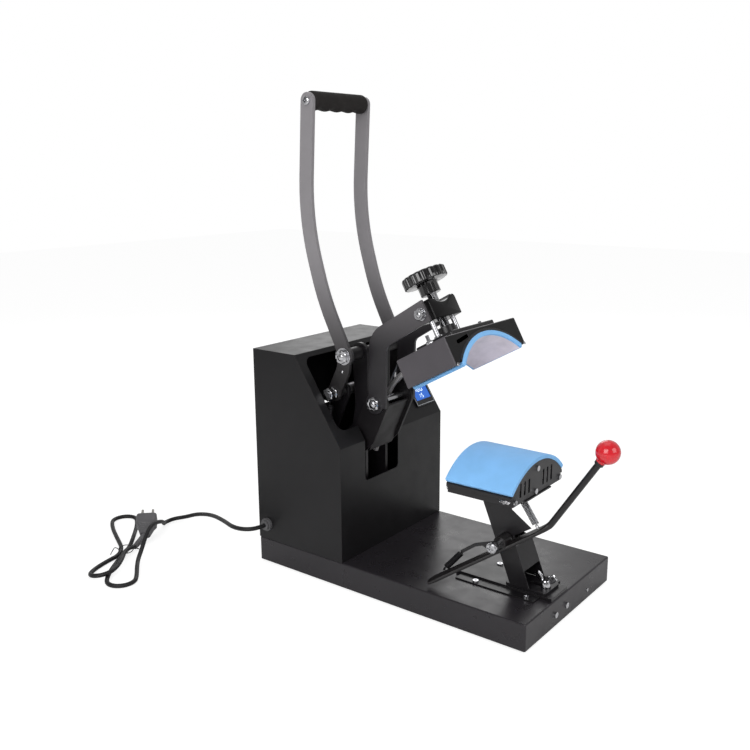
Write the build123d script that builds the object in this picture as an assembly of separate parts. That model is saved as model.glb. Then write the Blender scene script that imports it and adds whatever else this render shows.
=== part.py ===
from build123d import *
import os
from math import cos, sin, tan, radians, sqrt, atan2, degrees, hypot, pi

# Cap heat press in millimetres: +Z up, the operator stands on the -Y side, the floor is z = 0.
os.makedirs("parts", exist_ok=True)

# ---------------------------------------------------------------- driving dimensions
BASE_WIDTH = 285.0
BASE_LENGTH = 520.0
SKIRT_HEIGHT = 42.0
MAT_THICKNESS = 3.0
SHEET = 1.5
PLATE = 6.0
MECH_X = -34.0
CABINET_FRONT_Y = 74.0
SLOPE_FOOT_Z = 238.0
SLOPE_TOP_Y = 167.0
CABINET_TOP_Z = 379.0
WINDOW_WIDTH = 184.0
WINDOW_START = 27.0
WINDOW_END = 160.0
SLOT_WIDTH = 91.0
SLOT_BOTTOM_Z = 168.0
HANDLE_PIVOT = (96.0, 379.0)
CRANK_PIVOT = (118.0, 316.0)
SWING_PIVOT = (160.0, 170.0)
ELBOW_PIVOT = (58.0, 301.0)
TAIL_PIVOT = (212.0, 101.0)
SWING_OPEN = 29.0
ARC_CENTRE_Z = 143.8
LOWER_PAD_RADIUS = 112.0
UPPER_PAD_RADIUS = 114.0
PAD_HALF_WIDTH = 82.0
UPPER_PAD_HALF = 87.0
PAD_THICKNESS = 6.5
CORE_THICKNESS = 4.0
UPPER_FRONT_Y = -209.3
UPPER_LENGTH = 97.0
UPPER_BOTTOM_Z = 228.6
UPPER_HEIGHT = 45.0
UPPER_HALF_WIDTH = 100.5
LOWER_FRONT_Y = -216.8
LOWER_LENGTH = 112.0
LOWER_HALF_WIDTH = 75.0
LOWER_BOTTOM_Z = 198.7
SCREW_RADIUS = 8.0
GUIDE_RADIUS = 4.0
GUIDE_SPACING = 57.6
SCREW_Y = -150.3
KNOB_RADIUS = 35.5
SPINDLE_RADIUS = 8.0
SHAFT_RADIUS = 9.0
CRANK_TUBE_RADIUS = 9.0
TAIL_PIN_RADIUS = 5.0
OPEN_EYE_RADIUS = 9.4
RUN_CLEARANCE = 0.06
GAP = 0.3
CORD_RADIUS = 3.75
GRIP_RADIUS = 15.0

BASE_TOP = MAT_THICKNESS + SKIRT_HEIGHT
HALF_W = BASE_WIDTH / 2
HALF_L = BASE_LENGTH / 2
UPPER_TOP_Z = UPPER_BOTTOM_Z + UPPER_HEIGHT
UPPER_BACK_Y = UPPER_FRONT_Y + UPPER_LENGTH
LOWER_BACK_Y = LOWER_FRONT_Y + LOWER_LENGTH
SLOPE_Y = SLOPE_TOP_Y - CABINET_FRONT_Y
SLOPE_Z = CABINET_TOP_Z - SLOPE_FOOT_Z
SLOPE_LENGTH = hypot(SLOPE_Y, SLOPE_Z)


# ---------------------------------------------------------------- helpers
def span(x0, x1, y0, y1, z0, z1):
    """Box between two corners."""
    return Pos((x0 + x1) / 2, (y0 + y1) / 2, (z0 + z1) / 2) * Box(x1 - x0, y1 - y0, z1 - z0)


def rod_x(x0, x1, at, r):
    """Round bar along X at the point (y, z)."""
    return Pos((x0 + x1) / 2, at[0], at[1]) * Rot(Y=90) * Cylinder(r, x1 - x0)


def rod_y(x, y0, y1, z, r):
    """Round bar along Y."""
    return Pos(x, (y0 + y1) / 2, z) * Rot(X=90) * Cylinder(r, y1 - y0)


def rod_z(x, y, z0, z1, r):
    """Round bar along Z."""
    return Pos(x, y, (z0 + z1) / 2) * Cylinder(r, z1 - z0)


def hex_x(x0, x1, at, flats):
    """Hexagon bar along X, its flats this far apart."""
    sketch = RegularPolygon(flats / sqrt(3), 6)
    return extrude(Plane.YZ.offset(x0) * Pos(*at) * sketch, amount=x1 - x0)


def hex_z(x, y, z0, z1, flats):
    """Hexagon bar along Z."""
    return extrude(Pos(x, y, z0) * RegularPolygon(flats / sqrt(3), 6), amount=z1 - z0)


def side_plate(sketch, x0, x1):
    """Plate cut from a (y, z) outline, between two X values."""
    return extrude(Plane.YZ.offset(x0) * sketch, amount=x1 - x0)


def front_plate(sketch, y0, y1):
    """Plate cut from an (x, z) outline, between two Y values."""
    return extrude(Plane.XZ.offset(-y0) * sketch, amount=y0 - y1)


def web(*circles):
    """Convex outline round some circles given as (y, z, r)."""
    edges = ShapeList()
    for y, z, r in circles:
        edges += (Pos(y, z) * Circle(r)).edges()
    return make_hull(edges)


def outline(*points):
    """Straight-sided face through some points."""
    return make_face(Polyline(*points, close=True))


def both(shape):
    """A piece and its mirror image across the mechanism's middle plane."""
    return [shape, mirror(shape, about=Plane.YZ.offset(MECH_X))]


def opened(shape):
    """Turn a piece drawn with the press closed back to the open position."""
    y, z = SWING_PIVOT
    return Pos(0, y, z) * Rot(X=-SWING_OPEN) * Pos(0, -y, -z) * shape


def save(name, *shapes):
    """Write one sub-part, as one solid or as a group of solids."""
    solids = []
    for shape in shapes:
        solids += shape.solids()
    whole = solids[0] if len(solids) == 1 else Compound(children=solids)
    export_step(whole, "parts/" + name + ".step")


def coil(start, end, mean_radius, wire_radius):
    """Close-wound spring body between two points, drawn as a tube of the coil's size."""
    a = Vector(start)
    b = Vector(end)
    plane = Plane(origin=a, z_dir=b - a)
    length = (b - a).length
    ring = Circle(mean_radius + wire_radius) - Circle(mean_radius - wire_radius)
    return extrude(plane * ring, amount=length)


def pan_screw(x, y, z, r):
    """Pan-headed screw standing on a level face."""
    return rod_z(x, y, z, z + 0.6 * r, r) - rod_z(x, y, z + 0.35 * r, z + r, 0.45 * r)


def slope_at(x, s, out=0.0):
    """Point on the cabinet's sloping face: s up the slope, out along its normal."""
    y = CABINET_FRONT_Y + s * SLOPE_Y / SLOPE_LENGTH - out * SLOPE_Z / SLOPE_LENGTH
    z = SLOPE_FOOT_Z + s * SLOPE_Z / SLOPE_LENGTH + out * SLOPE_Y / SLOPE_LENGTH
    return (x, y, z)


def slope_plane(x, s, out=0.0):
    """Work plane on the slope: local x across, local y up the slope."""
    return Plane(slope_at(x, s, out), x_dir=(1, 0, 0), z_dir=(0, -SLOPE_Z, SLOPE_Y))


# ---------------------------------------------------------------- base
tray = span(-HALF_W, HALF_W, -HALF_L, HALF_L, MAT_THICKNESS, BASE_TOP)
tray = fillet(tray.edges().filter_by(Axis.Z), 3)
tray = fillet(tray.faces().sort_by(Axis.Z)[-1].edges(), 2.4)
inner_top = BASE_TOP - SHEET
hollow = span(-HALF_W + SHEET, HALF_W - SHEET, -HALF_L + SHEET, HALF_L - SHEET, 0, inner_top)
tray -= fillet(hollow.edges().filter_by(Axis.Z), 1.5)
FRONT_SCREWS = ((-50, 22), (-14, 23))
for x, z in FRONT_SCREWS + ((61, 18),):
    tray -= rod_y(x, -HALF_L - 1, -HALF_L + 4, z, 2)
save("base_tray", tray)

lid_half_w = HALF_W - SHEET - GAP
lid_half_l = HALF_L - SHEET - GAP
base_plate = span(-lid_half_w, lid_half_w, -lid_half_l, lid_half_l, MAT_THICKNESS, MAT_THICKNESS + 1.2)
base_plate = fillet(base_plate.edges().filter_by(Axis.Z), 2)
save("base_bottom_plate", base_plate)

MAT_INSET = 5.0
mat_half_w = HALF_W - MAT_INSET
mat_half_l = HALF_L - MAT_INSET
mat = span(-mat_half_w, mat_half_w, -mat_half_l, mat_half_l, 0, MAT_THICKNESS)
save("base_mat", fillet(mat.edges().filter_by(Axis.Z), 6))

case_screws = []
for x, z in FRONT_SCREWS:
    head = rod_y(x, -HALF_L - 3, -HALF_L, z, 4.6)
    case_screws.append(head + rod_y(x, -HALF_L, -HALF_L + 6, z, 2))
case_screws.append(rod_y(61, -HALF_L - 1.4, -HALF_L, 18, 2.8) + rod_y(61, -HALF_L, -HALF_L + 5, 18, 2))

# ---------------------------------------------------------------- cabinet
profile = outline(
    (CABINET_FRONT_Y, BASE_TOP),
    (CABINET_FRONT_Y, SLOPE_FOOT_Z),
    (SLOPE_TOP_Y, CABINET_TOP_Z),
    (HALF_L, CABINET_TOP_Z),
    (HALF_L, BASE_TOP),
)
cabinet = side_plate(profile, -HALF_W, HALF_W)
room = side_plate(offset(profile, amount=-SHEET), -HALF_W + SHEET, HALF_W - SHEET)
cabinet -= room
LIP = 12.0
cabinet -= span(-HALF_W + LIP, HALF_W - LIP, HALF_L - 3, HALF_L + 1, BASE_TOP + LIP, CABINET_TOP_Z - LIP)
cabinet -= span(-HALF_W + LIP, HALF_W - LIP, CABINET_FRONT_Y + LIP, HALF_L - LIP, BASE_TOP - 1, BASE_TOP + 3)
window_mid = (WINDOW_START + WINDOW_END) / 2
window = RectangleRounded(WINDOW_WIDTH, WINDOW_END - WINDOW_START, 16)
cabinet -= extrude(slope_plane(MECH_X, window_mid, -6) * window, amount=12)
throat = Pos(0, WINDOW_START / 2) * Rectangle(SLOT_WIDTH, WINDOW_START + 20)
cabinet -= extrude(slope_plane(MECH_X, 0, -6) * throat, amount=12)
slot = Pos(MECH_X, (SLOT_BOTTOM_Z + SLOPE_FOOT_Z + 6) / 2)
slot = slot * RectangleRounded(SLOT_WIDTH, SLOPE_FOOT_Z + 6 - SLOT_BOTTOM_Z, 7)
cabinet -= front_plate(slot, CABINET_FRONT_Y - 4, CABINET_FRONT_Y + 5)
PANEL_X = HALF_W - 31.5
PANEL_S = 66.0
PANEL_W = 54.0
PANEL_H = 92.0
well = Rectangle(PANEL_W - 6, PANEL_H - 6)
cabinet -= extrude(slope_plane(PANEL_X, PANEL_S, -6) * well, amount=12)
GLAND_AT = (HALF_L - 20, 72.0)
SWITCH_AT = (HALF_L - 48, 100.0)
cabinet -= rod_x(-HALF_W - 2, -HALF_W + 3, GLAND_AT, 8 + RUN_CLEARANCE)
cabinet -= span(HALF_W - 3, HALF_W + 2, SWITCH_AT[0] - 9.5, SWITCH_AT[0] + 9.5, SWITCH_AT[1] - 14, SWITCH_AT[1] + 14)
save("cabinet_shell", cabinet)

back = span(-HALF_W + 3, HALF_W - 3, HALF_L, HALF_L + SHEET, BASE_TOP + 3, CABINET_TOP_Z - 3)
for i in range(7):
    back -= span(-50, 50, HALF_L - 1, HALF_L + 3, 150 + 16 * i, 155 + 16 * i)
save("cabinet_back_cover", back)

for x in (-HALF_W + 8, HALF_W - 8):
    for z in (BASE_TOP + 9, (BASE_TOP + CABINET_TOP_Z) / 2, CABINET_TOP_Z - 9):
        case_screws.append(rod_y(x, HALF_L + SHEET, HALF_L + SHEET + 2.2, z, 3.6))

# ---------------------------------------------------------------- controller
bezel = extrude(slope_plane(PANEL_X, PANEL_S) * RectangleRounded(PANEL_W, PANEL_H, 3), amount=3)
bezel += extrude(slope_plane(PANEL_X, PANEL_S, -22) * Rectangle(PANEL_W - 7, PANEL_H - 7), amount=22)
bezel -= extrude(slope_plane(PANEL_X, PANEL_S, -23) * Rectangle(PANEL_W - 11, PANEL_H - 11), amount=21)
DISPLAY_S = 47.0
bezel -= extrude(slope_plane(PANEL_X, DISPLAY_S, -8) * Rectangle(44, 32), amount=20)
BUTTON_S = 88.0
BUTTON_R = 5.0
BUTTON_X = (PANEL_X - 16, PANEL_X, PANEL_X + 16)
for x in BUTTON_X:
    bezel -= extrude(slope_plane(x, BUTTON_S, -8) * Circle(BUTTON_R + GAP), amount=20)
save("controller_bezel", bezel)
glass = extrude(slope_plane(PANEL_X, DISPLAY_S, -1.4) * Rectangle(43.8, 31.8), amount=3.2)
save("controller_display", glass)
BUTTON_NAMES = ("button_up", "button_down", "button_set")
for name, x in zip(BUTTON_NAMES, BUTTON_X):
    cap = extrude(slope_plane(x, BUTTON_S, -2) * Circle(BUTTON_R), amount=6.4)
    cap = fillet(cap.faces().sort_by(Axis.Z)[-1:].edges(), 0.8)
    save(name, cap)
board = extrude(slope_plane(PANEL_X, PANEL_S, -12) * Rectangle(PANEL_W - 12, PANEL_H - 12), amount=1.6)
for x in BUTTON_X:
    board += extrude(slope_plane(x, BUTTON_S, -10.4) * Rectangle(6, 6), amount=5)
board += extrude(slope_plane(PANEL_X, DISPLAY_S, -10.4) * Rectangle(40, 28), amount=8.7)
board += extrude(slope_plane(PANEL_X, 75, -20) * Rectangle(26, 12), amount=8)
save("controller_board", board)

# ---------------------------------------------------------------- power parts
shut = HALF_W
switch = span(shut, shut + 2, SWITCH_AT[0] - 12, SWITCH_AT[0] + 12, SWITCH_AT[1] - 16, SWITCH_AT[1] + 16)
switch += span(shut - 20, shut, SWITCH_AT[0] - 9.2, SWITCH_AT[0] + 9.2, SWITCH_AT[1] - 13.7, SWITCH_AT[1] + 13.7)
switch -= span(shut - 8, shut + 3, SWITCH_AT[0] - 7.4, SWITCH_AT[0] + 7.4, SWITCH_AT[1] - 11.6, SWITCH_AT[1] + 11.6)
save("power_switch_body", switch)
rocker_face = web((shut - 4, SWITCH_AT[1], 3.5), (shut + 1.7, SWITCH_AT[1] + 8.35, 1.2), (shut - 0.5, SWITCH_AT[1] - 9.5, 1.2))
rocker = extrude(Plane.XZ.offset(-SWITCH_AT[0] - 7) * rocker_face, amount=14)
save("power_switch_rocker", rocker)
relay_x = HALF_W - SHEET - 45
relay = span(relay_x, relay_x + 30, 175, 215, BASE_TOP, BASE_TOP + 26)
relay += span(relay_x - 4, relay_x + 34, 170, 220, BASE_TOP, BASE_TOP + 4)
save("solid_state_relay", relay)

# ---------------------------------------------------------------- fixed frame
FRAME_IN = 24.0
SWING_IN = 31.0
ARM_IN = 36.0
LINK_IN = 44.0
BAR_IN = 65.0
mast = web((*HANDLE_PIVOT, 16), (93, 290, 13))
mast += web((93, 290, 13), (99, 250, 14))
mast += web((99, 250, 14), (*SWING_PIVOT, 24), (90, BASE_TOP + 5, 5), (180, BASE_TOP + 5, 5))
FRAME_OUT = FRAME_IN + PLATE
frame = side_plate(mast, MECH_X + FRAME_IN, MECH_X + FRAME_OUT)
frame -= rod_x(-90, 90, HANDLE_PIVOT, SPINDLE_RADIUS)
frame -= rod_x(-90, 90, SWING_PIVOT, SHAFT_RADIUS)
SPRING_FOOT = (140.0, 103.0)
frame -= rod_x(-150, 150, SPRING_FOOT, 5)
angle = span(MECH_X + FRAME_IN - 20, MECH_X + FRAME_IN, 90, 180, BASE_TOP, BASE_TOP + 5)
angle += span(MECH_X + FRAME_IN - 5, MECH_X + FRAME_IN, 90, 180, BASE_TOP, BASE_TOP + 20)
save("frame_plates", *both(frame), *both(angle))

TIE_POINTS = ((104, 225), (110, 78), (165, 78))
rods = []
for point in TIE_POINTS:
    rods.append(rod_x(MECH_X - FRAME_IN, MECH_X + FRAME_IN, point, 6))
rods.append(rod_x(MECH_X - 88, MECH_X + 88, SPRING_FOOT, 5))

BAR_OUT = BAR_IN + PLATE
spindle = rod_x(MECH_X - BAR_OUT - 1, MECH_X + BAR_OUT + 1, HANDLE_PIVOT, SPINDLE_RADIUS)
for side in (-1, 1):
    inner = MECH_X + side * FRAME_OUT
    outer = MECH_X + side * (BAR_IN - 0.5)
    spindle += rod_x(min(inner, outer), max(inner, outer), HANDLE_PIVOT, 11)
save("handle_spindle", spindle)
caps = []
for side in (-1, 1):
    near = MECH_X + side * (BAR_OUT + 1)
    far = near + side * 9
    nut = hex_x(min(near, far), max(near, far), HANDLE_PIVOT, 24)
    caps.append(nut)
rods.append(rod_x(MECH_X - 42, MECH_X + 42, SWING_PIVOT, SHAFT_RADIUS))
save("frame_rods", *rods)
for clip in both(hex_x(MECH_X + ARM_IN + 0.5, MECH_X + ARM_IN + 5.5, SWING_PIVOT, 27)):
    caps.append(clip - rod_x(-90, 90, SWING_PIVOT, SHAFT_RADIUS))
save("pivot_nuts", *caps)

# ---------------------------------------------------------------- handle
path = FilletPolyline(
    (162, 771), (172, 590), (137, 468), (96, 386), (97, 358), (118, 316), radius=(400, 400, 55, 40)
)
bar = trace(path, line_width=25)
bar += Pos(162, 771) * Circle(12.5) + Pos(*CRANK_PIVOT) * Circle(13.5) + Pos(*HANDLE_PIVOT) * Circle(17)
GRIP_AT = (162.0, 771.0)
handle = side_plate(bar, MECH_X + BAR_IN, MECH_X + BAR_OUT)
handle -= rod_x(-150, 150, HANDLE_PIVOT, SPINDLE_RADIUS + RUN_CLEARANCE)
handle -= rod_x(-150, 150, CRANK_PIVOT, 6)
handle -= rod_x(-150, 150, GRIP_AT, 4)
save("handle_bars", *both(handle))
grip = rod_x(MECH_X - BAR_IN, MECH_X + BAR_IN, GRIP_AT, GRIP_RADIUS)
core = rod_x(MECH_X - BAR_IN - 1, MECH_X + BAR_IN + 1, GRIP_AT, 10)
grip = fillet(grip.edges(), 1.5)
save("handle_grip", grip - core)
cross_tube = rod_x(MECH_X - BAR_IN, MECH_X + BAR_IN, GRIP_AT, 10)
cross_tube -= rod_x(MECH_X - 90, MECH_X + 90, GRIP_AT, 4)
grip_bolts = []
for side in (-1, 1):
    face = MECH_X + side * BAR_OUT
    tip = face + side * 5
    end = face - side * 30
    head = rod_x(min(face, tip), max(face, tip), GRIP_AT, 7)
    shank = rod_x(min(face, end), max(face, end), GRIP_AT, 4)
    recess = rod_x(min(face + side * 2, tip + side), max(face + side * 2, tip + side), GRIP_AT, 3)
    grip_bolts.append(head + shank - recess)

crank_tube = rod_x(MECH_X - BAR_IN, MECH_X + BAR_IN, CRANK_PIVOT, CRANK_TUBE_RADIUS)
crank_tube -= rod_x(-150, 150, CRANK_PIVOT, 6)
save("handle_cross_tubes", cross_tube, crank_tube)
save("crank_bolt", rod_x(MECH_X - 88, MECH_X + 88, CRANK_PIVOT, 6))
nuts = []
for side in (-1, 1):
    for start in (BAR_OUT, BAR_OUT + 11.5):
        near = MECH_X + side * start
        far = near + side * 5
        nut = hex_x(min(near, far), max(near, far), CRANK_PIVOT, 19)
        nuts.append(nut - rod_x(-150, 150, CRANK_PIVOT, 6))
save("handle_fasteners", *nuts, *grip_bolts)

# ---------------------------------------------------------------- links
LINK_OUT = LINK_IN + PLATE
link = side_plate(web((*CRANK_PIVOT, 15), (*TAIL_PIVOT, 15)), MECH_X + LINK_IN, MECH_X + LINK_OUT)
link -= rod_x(-150, 150, CRANK_PIVOT, CRANK_TUBE_RADIUS + RUN_CLEARANCE)
link -= rod_x(-150, 150, TAIL_PIVOT, OPEN_EYE_RADIUS)
save("toggle_links", *both(link))

# ---------------------------------------------------------------- swinging arm
SWING_OUT = SWING_IN + 5
KNEE = (82.0, 245.0)
swing = web((*ELBOW_PIVOT, 22), (*KNEE, 21)) + web((*KNEE, 21), (*SWING_PIVOT, 22))
swing += web((*SWING_PIVOT, 22), (*TAIL_PIVOT, 12))
swing = side_plate(swing, MECH_X + SWING_IN, MECH_X + SWING_OUT)
swing -= rod_x(-150, 150, SWING_PIVOT, SHAFT_RADIUS + RUN_CLEARANCE)
swing -= rod_x(-150, 150, TAIL_PIVOT, TAIL_PIN_RADIUS)
swing -= rod_x(-150, 150, ELBOW_PIVOT, 7)
brace = side_plate(web((43, 297, 2), (78, 218, 2)), MECH_X - SWING_IN, MECH_X + SWING_IN)
save("swing_plates", *both(swing), brace)

ARM_OUT = ARM_IN + 5
arm_path = FilletPolyline((53, 296), (51, 406), (-40, 462), radius=30)
arm = trace(arm_path, line_width=34)
arm = side_plate(arm + Pos(*ELBOW_PIVOT) * Circle(17), MECH_X + ARM_IN, MECH_X + ARM_OUT)
arm -= rod_x(-150, 150, ELBOW_PIVOT, 7)
ARM_BOLT = (-32.0, 455.0)
arm -= rod_x(-150, 150, ARM_BOLT, 6)
save("knee_arms", *both(arm))

elbow = rod_x(MECH_X - ARM_OUT, MECH_X + ARM_OUT, ELBOW_PIVOT, 7)
arm_bolts = [elbow]
for side in (-1, 1):
    near = MECH_X + side * ARM_OUT
    far = near + side * 7
    arm_bolts.append(hex_x(min(near, far), max(near, far), ELBOW_PIVOT, 22))
tail = rod_x(MECH_X - 54, MECH_X + 54, TAIL_PIVOT, TAIL_PIN_RADIUS)
for side in (-1, 1):
    near = MECH_X + side * (LINK_OUT + 0.6)
    far = MECH_X + side * 54
    tail += rod_x(min(near, far), max(near, far), TAIL_PIVOT, 11.5)
save("tail_pin", tail)

# ---------------------------------------------------------------- pressure head on the arm
BLOCK_Z0 = UPPER_BOTTOM_Z + 82
BLOCK_Z1 = UPPER_BOTTOM_Z + 115
block = span(MECH_X - ARM_IN, MECH_X + ARM_IN, SCREW_Y - 15, SCREW_Y + 15, BLOCK_Z0, BLOCK_Z1)
block = chamfer(block.edges().filter_by(Axis.X), 2)
SADDLE_DEPTH = 9.0
SADDLE_RADIUS = 39.0
block -= rod_y(MECH_X, SCREW_Y - 20, SCREW_Y + 20, BLOCK_Z1 - SADDLE_DEPTH + SADDLE_RADIUS, SADDLE_RADIUS)
block -= rod_z(MECH_X, SCREW_Y, BLOCK_Z0 - 1, BLOCK_Z1 + 1, SCREW_RADIUS + RUN_CLEARANCE)
GUIDE_X = (MECH_X - GUIDE_SPACING / 2, MECH_X + GUIDE_SPACING / 2)
for x in GUIDE_X:
    block -= rod_z(x, SCREW_Y, BLOCK_Z0 - 1, BLOCK_Z1 + 1, GUIDE_RADIUS + RUN_CLEARANCE)
save("cross_block", opened(block))
for side in (-1, 1):
    near = MECH_X + side * ARM_OUT
    washer = near + side * 2
    far = washer + side * 6
    bolt = rod_x(min(near, washer), max(near, washer), ARM_BOLT, 10)
    bolt += hex_x(min(washer, far), max(washer, far), ARM_BOLT, 16)
    shank = MECH_X + side * ARM_IN
    bolt += rod_x(min(near, shank), max(near, shank), ARM_BOLT, 6)
    arm_bolts.append(bolt)
save("arm_bolts", *arm_bolts)

# ---------------------------------------------------------------- upper platen
def arc_slab(r0, r1, half, y0, y1, z0, z1):
    """Slab of a tube lying along Y round the pads' common centre line, cut to a width."""
    ring = rod_y(MECH_X, y0, y1, ARC_CENTRE_Z, r1) - rod_y(MECH_X, y0 - 1, y1 + 1, ARC_CENTRE_Z, r0)
    return ring & span(MECH_X - half, MECH_X + half, y0 - 1, y1 + 1, z0, z1)


CORE_R0 = UPPER_PAD_RADIUS + PAD_THICKNESS + 1
CORE_R1 = CORE_R0 + CORE_THICKNESS
PAD_Y0 = UPPER_FRONT_Y - 1.5
UPPER_PAD_Z0 = UPPER_BOTTOM_Z - 13.6
PAD_Y1 = UPPER_BACK_Y + 1.5
upper_pad = arc_slab(UPPER_PAD_RADIUS, CORE_R0, UPPER_PAD_HALF, PAD_Y0, PAD_Y1, UPPER_PAD_Z0, 400)
save("upper_pad", opened(upper_pad))
CORE_HALF = PAD_HALF_WIDTH + 2
core_plate = arc_slab(CORE_R0, CORE_R1, CORE_HALF, UPPER_FRONT_Y, UPPER_BACK_Y, UPPER_PAD_Z0, 400)
save("upper_heating_plate", opened(core_plate))

hood_x0 = MECH_X - UPPER_HALF_WIDTH
hood_x1 = MECH_X + UPPER_HALF_WIDTH
hood = span(hood_x0, hood_x1, UPPER_FRONT_Y, UPPER_BACK_Y, UPPER_BOTTOM_Z, UPPER_TOP_Z)
hood = fillet(hood.edges().filter_by(Axis.Z), 3)
hood = fillet(hood.faces().sort_by(Axis.Z)[-1].edges(), 2.4)
well_x = UPPER_HALF_WIDTH - SHEET
hood_y0 = UPPER_FRONT_Y + SHEET
hood_y1 = UPPER_BACK_Y - SHEET
hood -= span(MECH_X - well_x, MECH_X + well_x, hood_y0, hood_y1, UPPER_BOTTOM_Z - 1, UPPER_TOP_Z - SHEET)
hood -= rod_y(MECH_X, UPPER_FRONT_Y - 1, UPPER_BACK_Y + 1, ARC_CENTRE_Z, CORE_R1 + GAP)
EYE_LENGTH = 36.0
EYE_WIDTH = 6.0
eye_at = Pos(MECH_X - PAD_HALF_WIDTH + 23, UPPER_TOP_Z - 10.5)
eye = eye_at * Rot(0, 0, 9) * SlotOverall(EYE_LENGTH, EYE_WIDTH)
hood -= front_plate(eye, UPPER_FRONT_Y - 1, UPPER_FRONT_Y + 4)
STUD_X = (MECH_X - PAD_HALF_WIDTH + 8, MECH_X + PAD_HALF_WIDTH - 8)
STUD_Y = UPPER_FRONT_Y + 46
for x in STUD_X:
    hood -= rod_z(x, STUD_Y, UPPER_TOP_Z - 4, UPPER_TOP_Z + 2, 3)
save("upper_hood", opened(hood))

LID_HALF = 60.0
LID_Y0 = UPPER_FRONT_Y + 12
LID_Y1 = UPPER_BACK_Y - 12
LID_Z1 = UPPER_TOP_Z + 8
lid = span(MECH_X - LID_HALF, MECH_X + LID_HALF, LID_Y0, LID_Y1, UPPER_TOP_Z, LID_Z1)
lid = fillet(lid.edges().filter_by(Axis.Z), 4)
lid = fillet(lid.faces().sort_by(Axis.Z)[-1].edges(), 2)
lid -= span(MECH_X - LID_HALF + 2, MECH_X + LID_HALF - 2, LID_Y0 + 2, LID_Y1 - 2, UPPER_TOP_Z - 1, LID_Z1 - 2)
lid -= rod_z(MECH_X, SCREW_Y, LID_Z1 - 4, LID_Z1 + 2, SCREW_RADIUS + 2)
wool = span(MECH_X - LID_HALF + 3, MECH_X + LID_HALF - 3, LID_Y0 + 3, LID_Y1 - 3, UPPER_TOP_Z, LID_Z1 - 3)
wool -= rod_z(MECH_X, SCREW_Y, UPPER_TOP_Z - 1, LID_Z1, SCREW_RADIUS + 8)
save("upper_insulation", opened(wool))

studs = []
for x in STUD_X:
    reach = sqrt(CORE_R1 ** 2 - (x - MECH_X) ** 2) + ARC_CENTRE_Z
    stud = rod_z(x, STUD_Y, reach + 2.6, UPPER_TOP_Z + 16, 3)
    stud += rod_z(x, STUD_Y, UPPER_TOP_Z, UPPER_TOP_Z + 1.6, 8)
    stud += hex_z(x, STUD_Y, UPPER_TOP_Z + 1.6, UPPER_TOP_Z + 7, 10)
    studs.append(opened(stud))
for x in GUIDE_X:
    pin = rod_z(x, SCREW_Y, LID_Z1 + 3, BLOCK_Z1 - 6, GUIDE_RADIUS)
    pin += hex_z(x, SCREW_Y, LID_Z1, LID_Z1 + 5, 13)
    studs.append(opened(pin))
save("platen_studs", *studs)

housing = rod_z(MECH_X, SCREW_Y, LID_Z1, LID_Z1 + 16, 15)
housing -= rod_z(MECH_X, SCREW_Y, LID_Z1 - 1, LID_Z1 + 9.9, 11 + RUN_CLEARANCE)
housing -= rod_z(MECH_X, SCREW_Y, LID_Z1, LID_Z1 + 17, SCREW_RADIUS + RUN_CLEARANCE)
save("upper_top_plate", opened(lid), opened(housing))
pressure = rod_z(MECH_X, SCREW_Y, LID_Z1 + GAP, UPPER_BOTTOM_Z + 126, SCREW_RADIUS)
pressure += rod_z(MECH_X, SCREW_Y, LID_Z1 + GAP, LID_Z1 + 9.6, 11)
save("pressure_screw", opened(pressure))
HUB_Z0 = UPPER_BOTTOM_Z + 124
WHEEL_Z0 = UPPER_BOTTOM_Z + 142.7
WHEEL_Z1 = UPPER_BOTTOM_Z + 160
knob = rod_z(MECH_X, SCREW_Y, HUB_Z0, WHEEL_Z0 + 1, 16)
knob += rod_z(MECH_X, SCREW_Y, WHEEL_Z0, WHEEL_Z1, KNOB_RADIUS)
knob = fillet(knob.faces().sort_by(Axis.Z)[-1].edges(), 4)
FLUTES = 18
FLUTE_RADIUS = 3.2
flute_at = KNOB_RADIUS + FLUTE_RADIUS / 2
for i in range(FLUTES):
    a = radians(360 / FLUTES * (i + 0.5))
    flute_x = MECH_X + flute_at * cos(a)
    flute_y = SCREW_Y + flute_at * sin(a)
    knob -= rod_z(flute_x, flute_y, WHEEL_Z0 - 1, WHEEL_Z1 + 1, FLUTE_RADIUS)
knob -= rod_z(MECH_X, SCREW_Y, HUB_Z0 - 1, UPPER_BOTTOM_Z + 126, SCREW_RADIUS)
save("pressure_knob", opened(knob))

# ---------------------------------------------------------------- lower platen
LOWER_CORE_R1 = LOWER_PAD_RADIUS - PAD_THICKNESS
LOWER_CORE_R0 = LOWER_CORE_R1 - CORE_THICKNESS
LOWER_PAD_Z0 = LOWER_BOTTOM_Z + 10.3
SHELL_TOP_Z = LOWER_PAD_Z0 - 0.2
pad = arc_slab(
    LOWER_CORE_R1, LOWER_PAD_RADIUS, PAD_HALF_WIDTH, LOWER_FRONT_Y, LOWER_BACK_Y, LOWER_PAD_Z0, 400
)
save("lower_pad", pad)
plate_y0 = LOWER_FRONT_Y + 1
plate_y1 = LOWER_BACK_Y - 1
core_plate = arc_slab(
    LOWER_CORE_R0, LOWER_CORE_R1, LOWER_HALF_WIDTH + 4, plate_y0, plate_y1, LOWER_PAD_Z0, 400
)
save("lower_core", core_plate)
tray_half = LOWER_HALF_WIDTH
shell = span(MECH_X - tray_half, MECH_X + tray_half, plate_y0 + 2, plate_y1 - 2, LOWER_BOTTOM_Z, SHELL_TOP_Z)
wall_x = tray_half - SHEET
floor_z = LOWER_BOTTOM_Z + SHEET
shell -= span(MECH_X - wall_x, MECH_X + wall_x, plate_y0 + 1, plate_y1 - 1, floor_z, SHELL_TOP_Z + 10)
disc = Pos(MECH_X, ARC_CENTRE_Z) * Circle(LOWER_CORE_R0)
end_face = disc & Pos(MECH_X, LOWER_BOTTOM_Z + 30) * Rectangle(2 * tray_half, 60)
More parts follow.
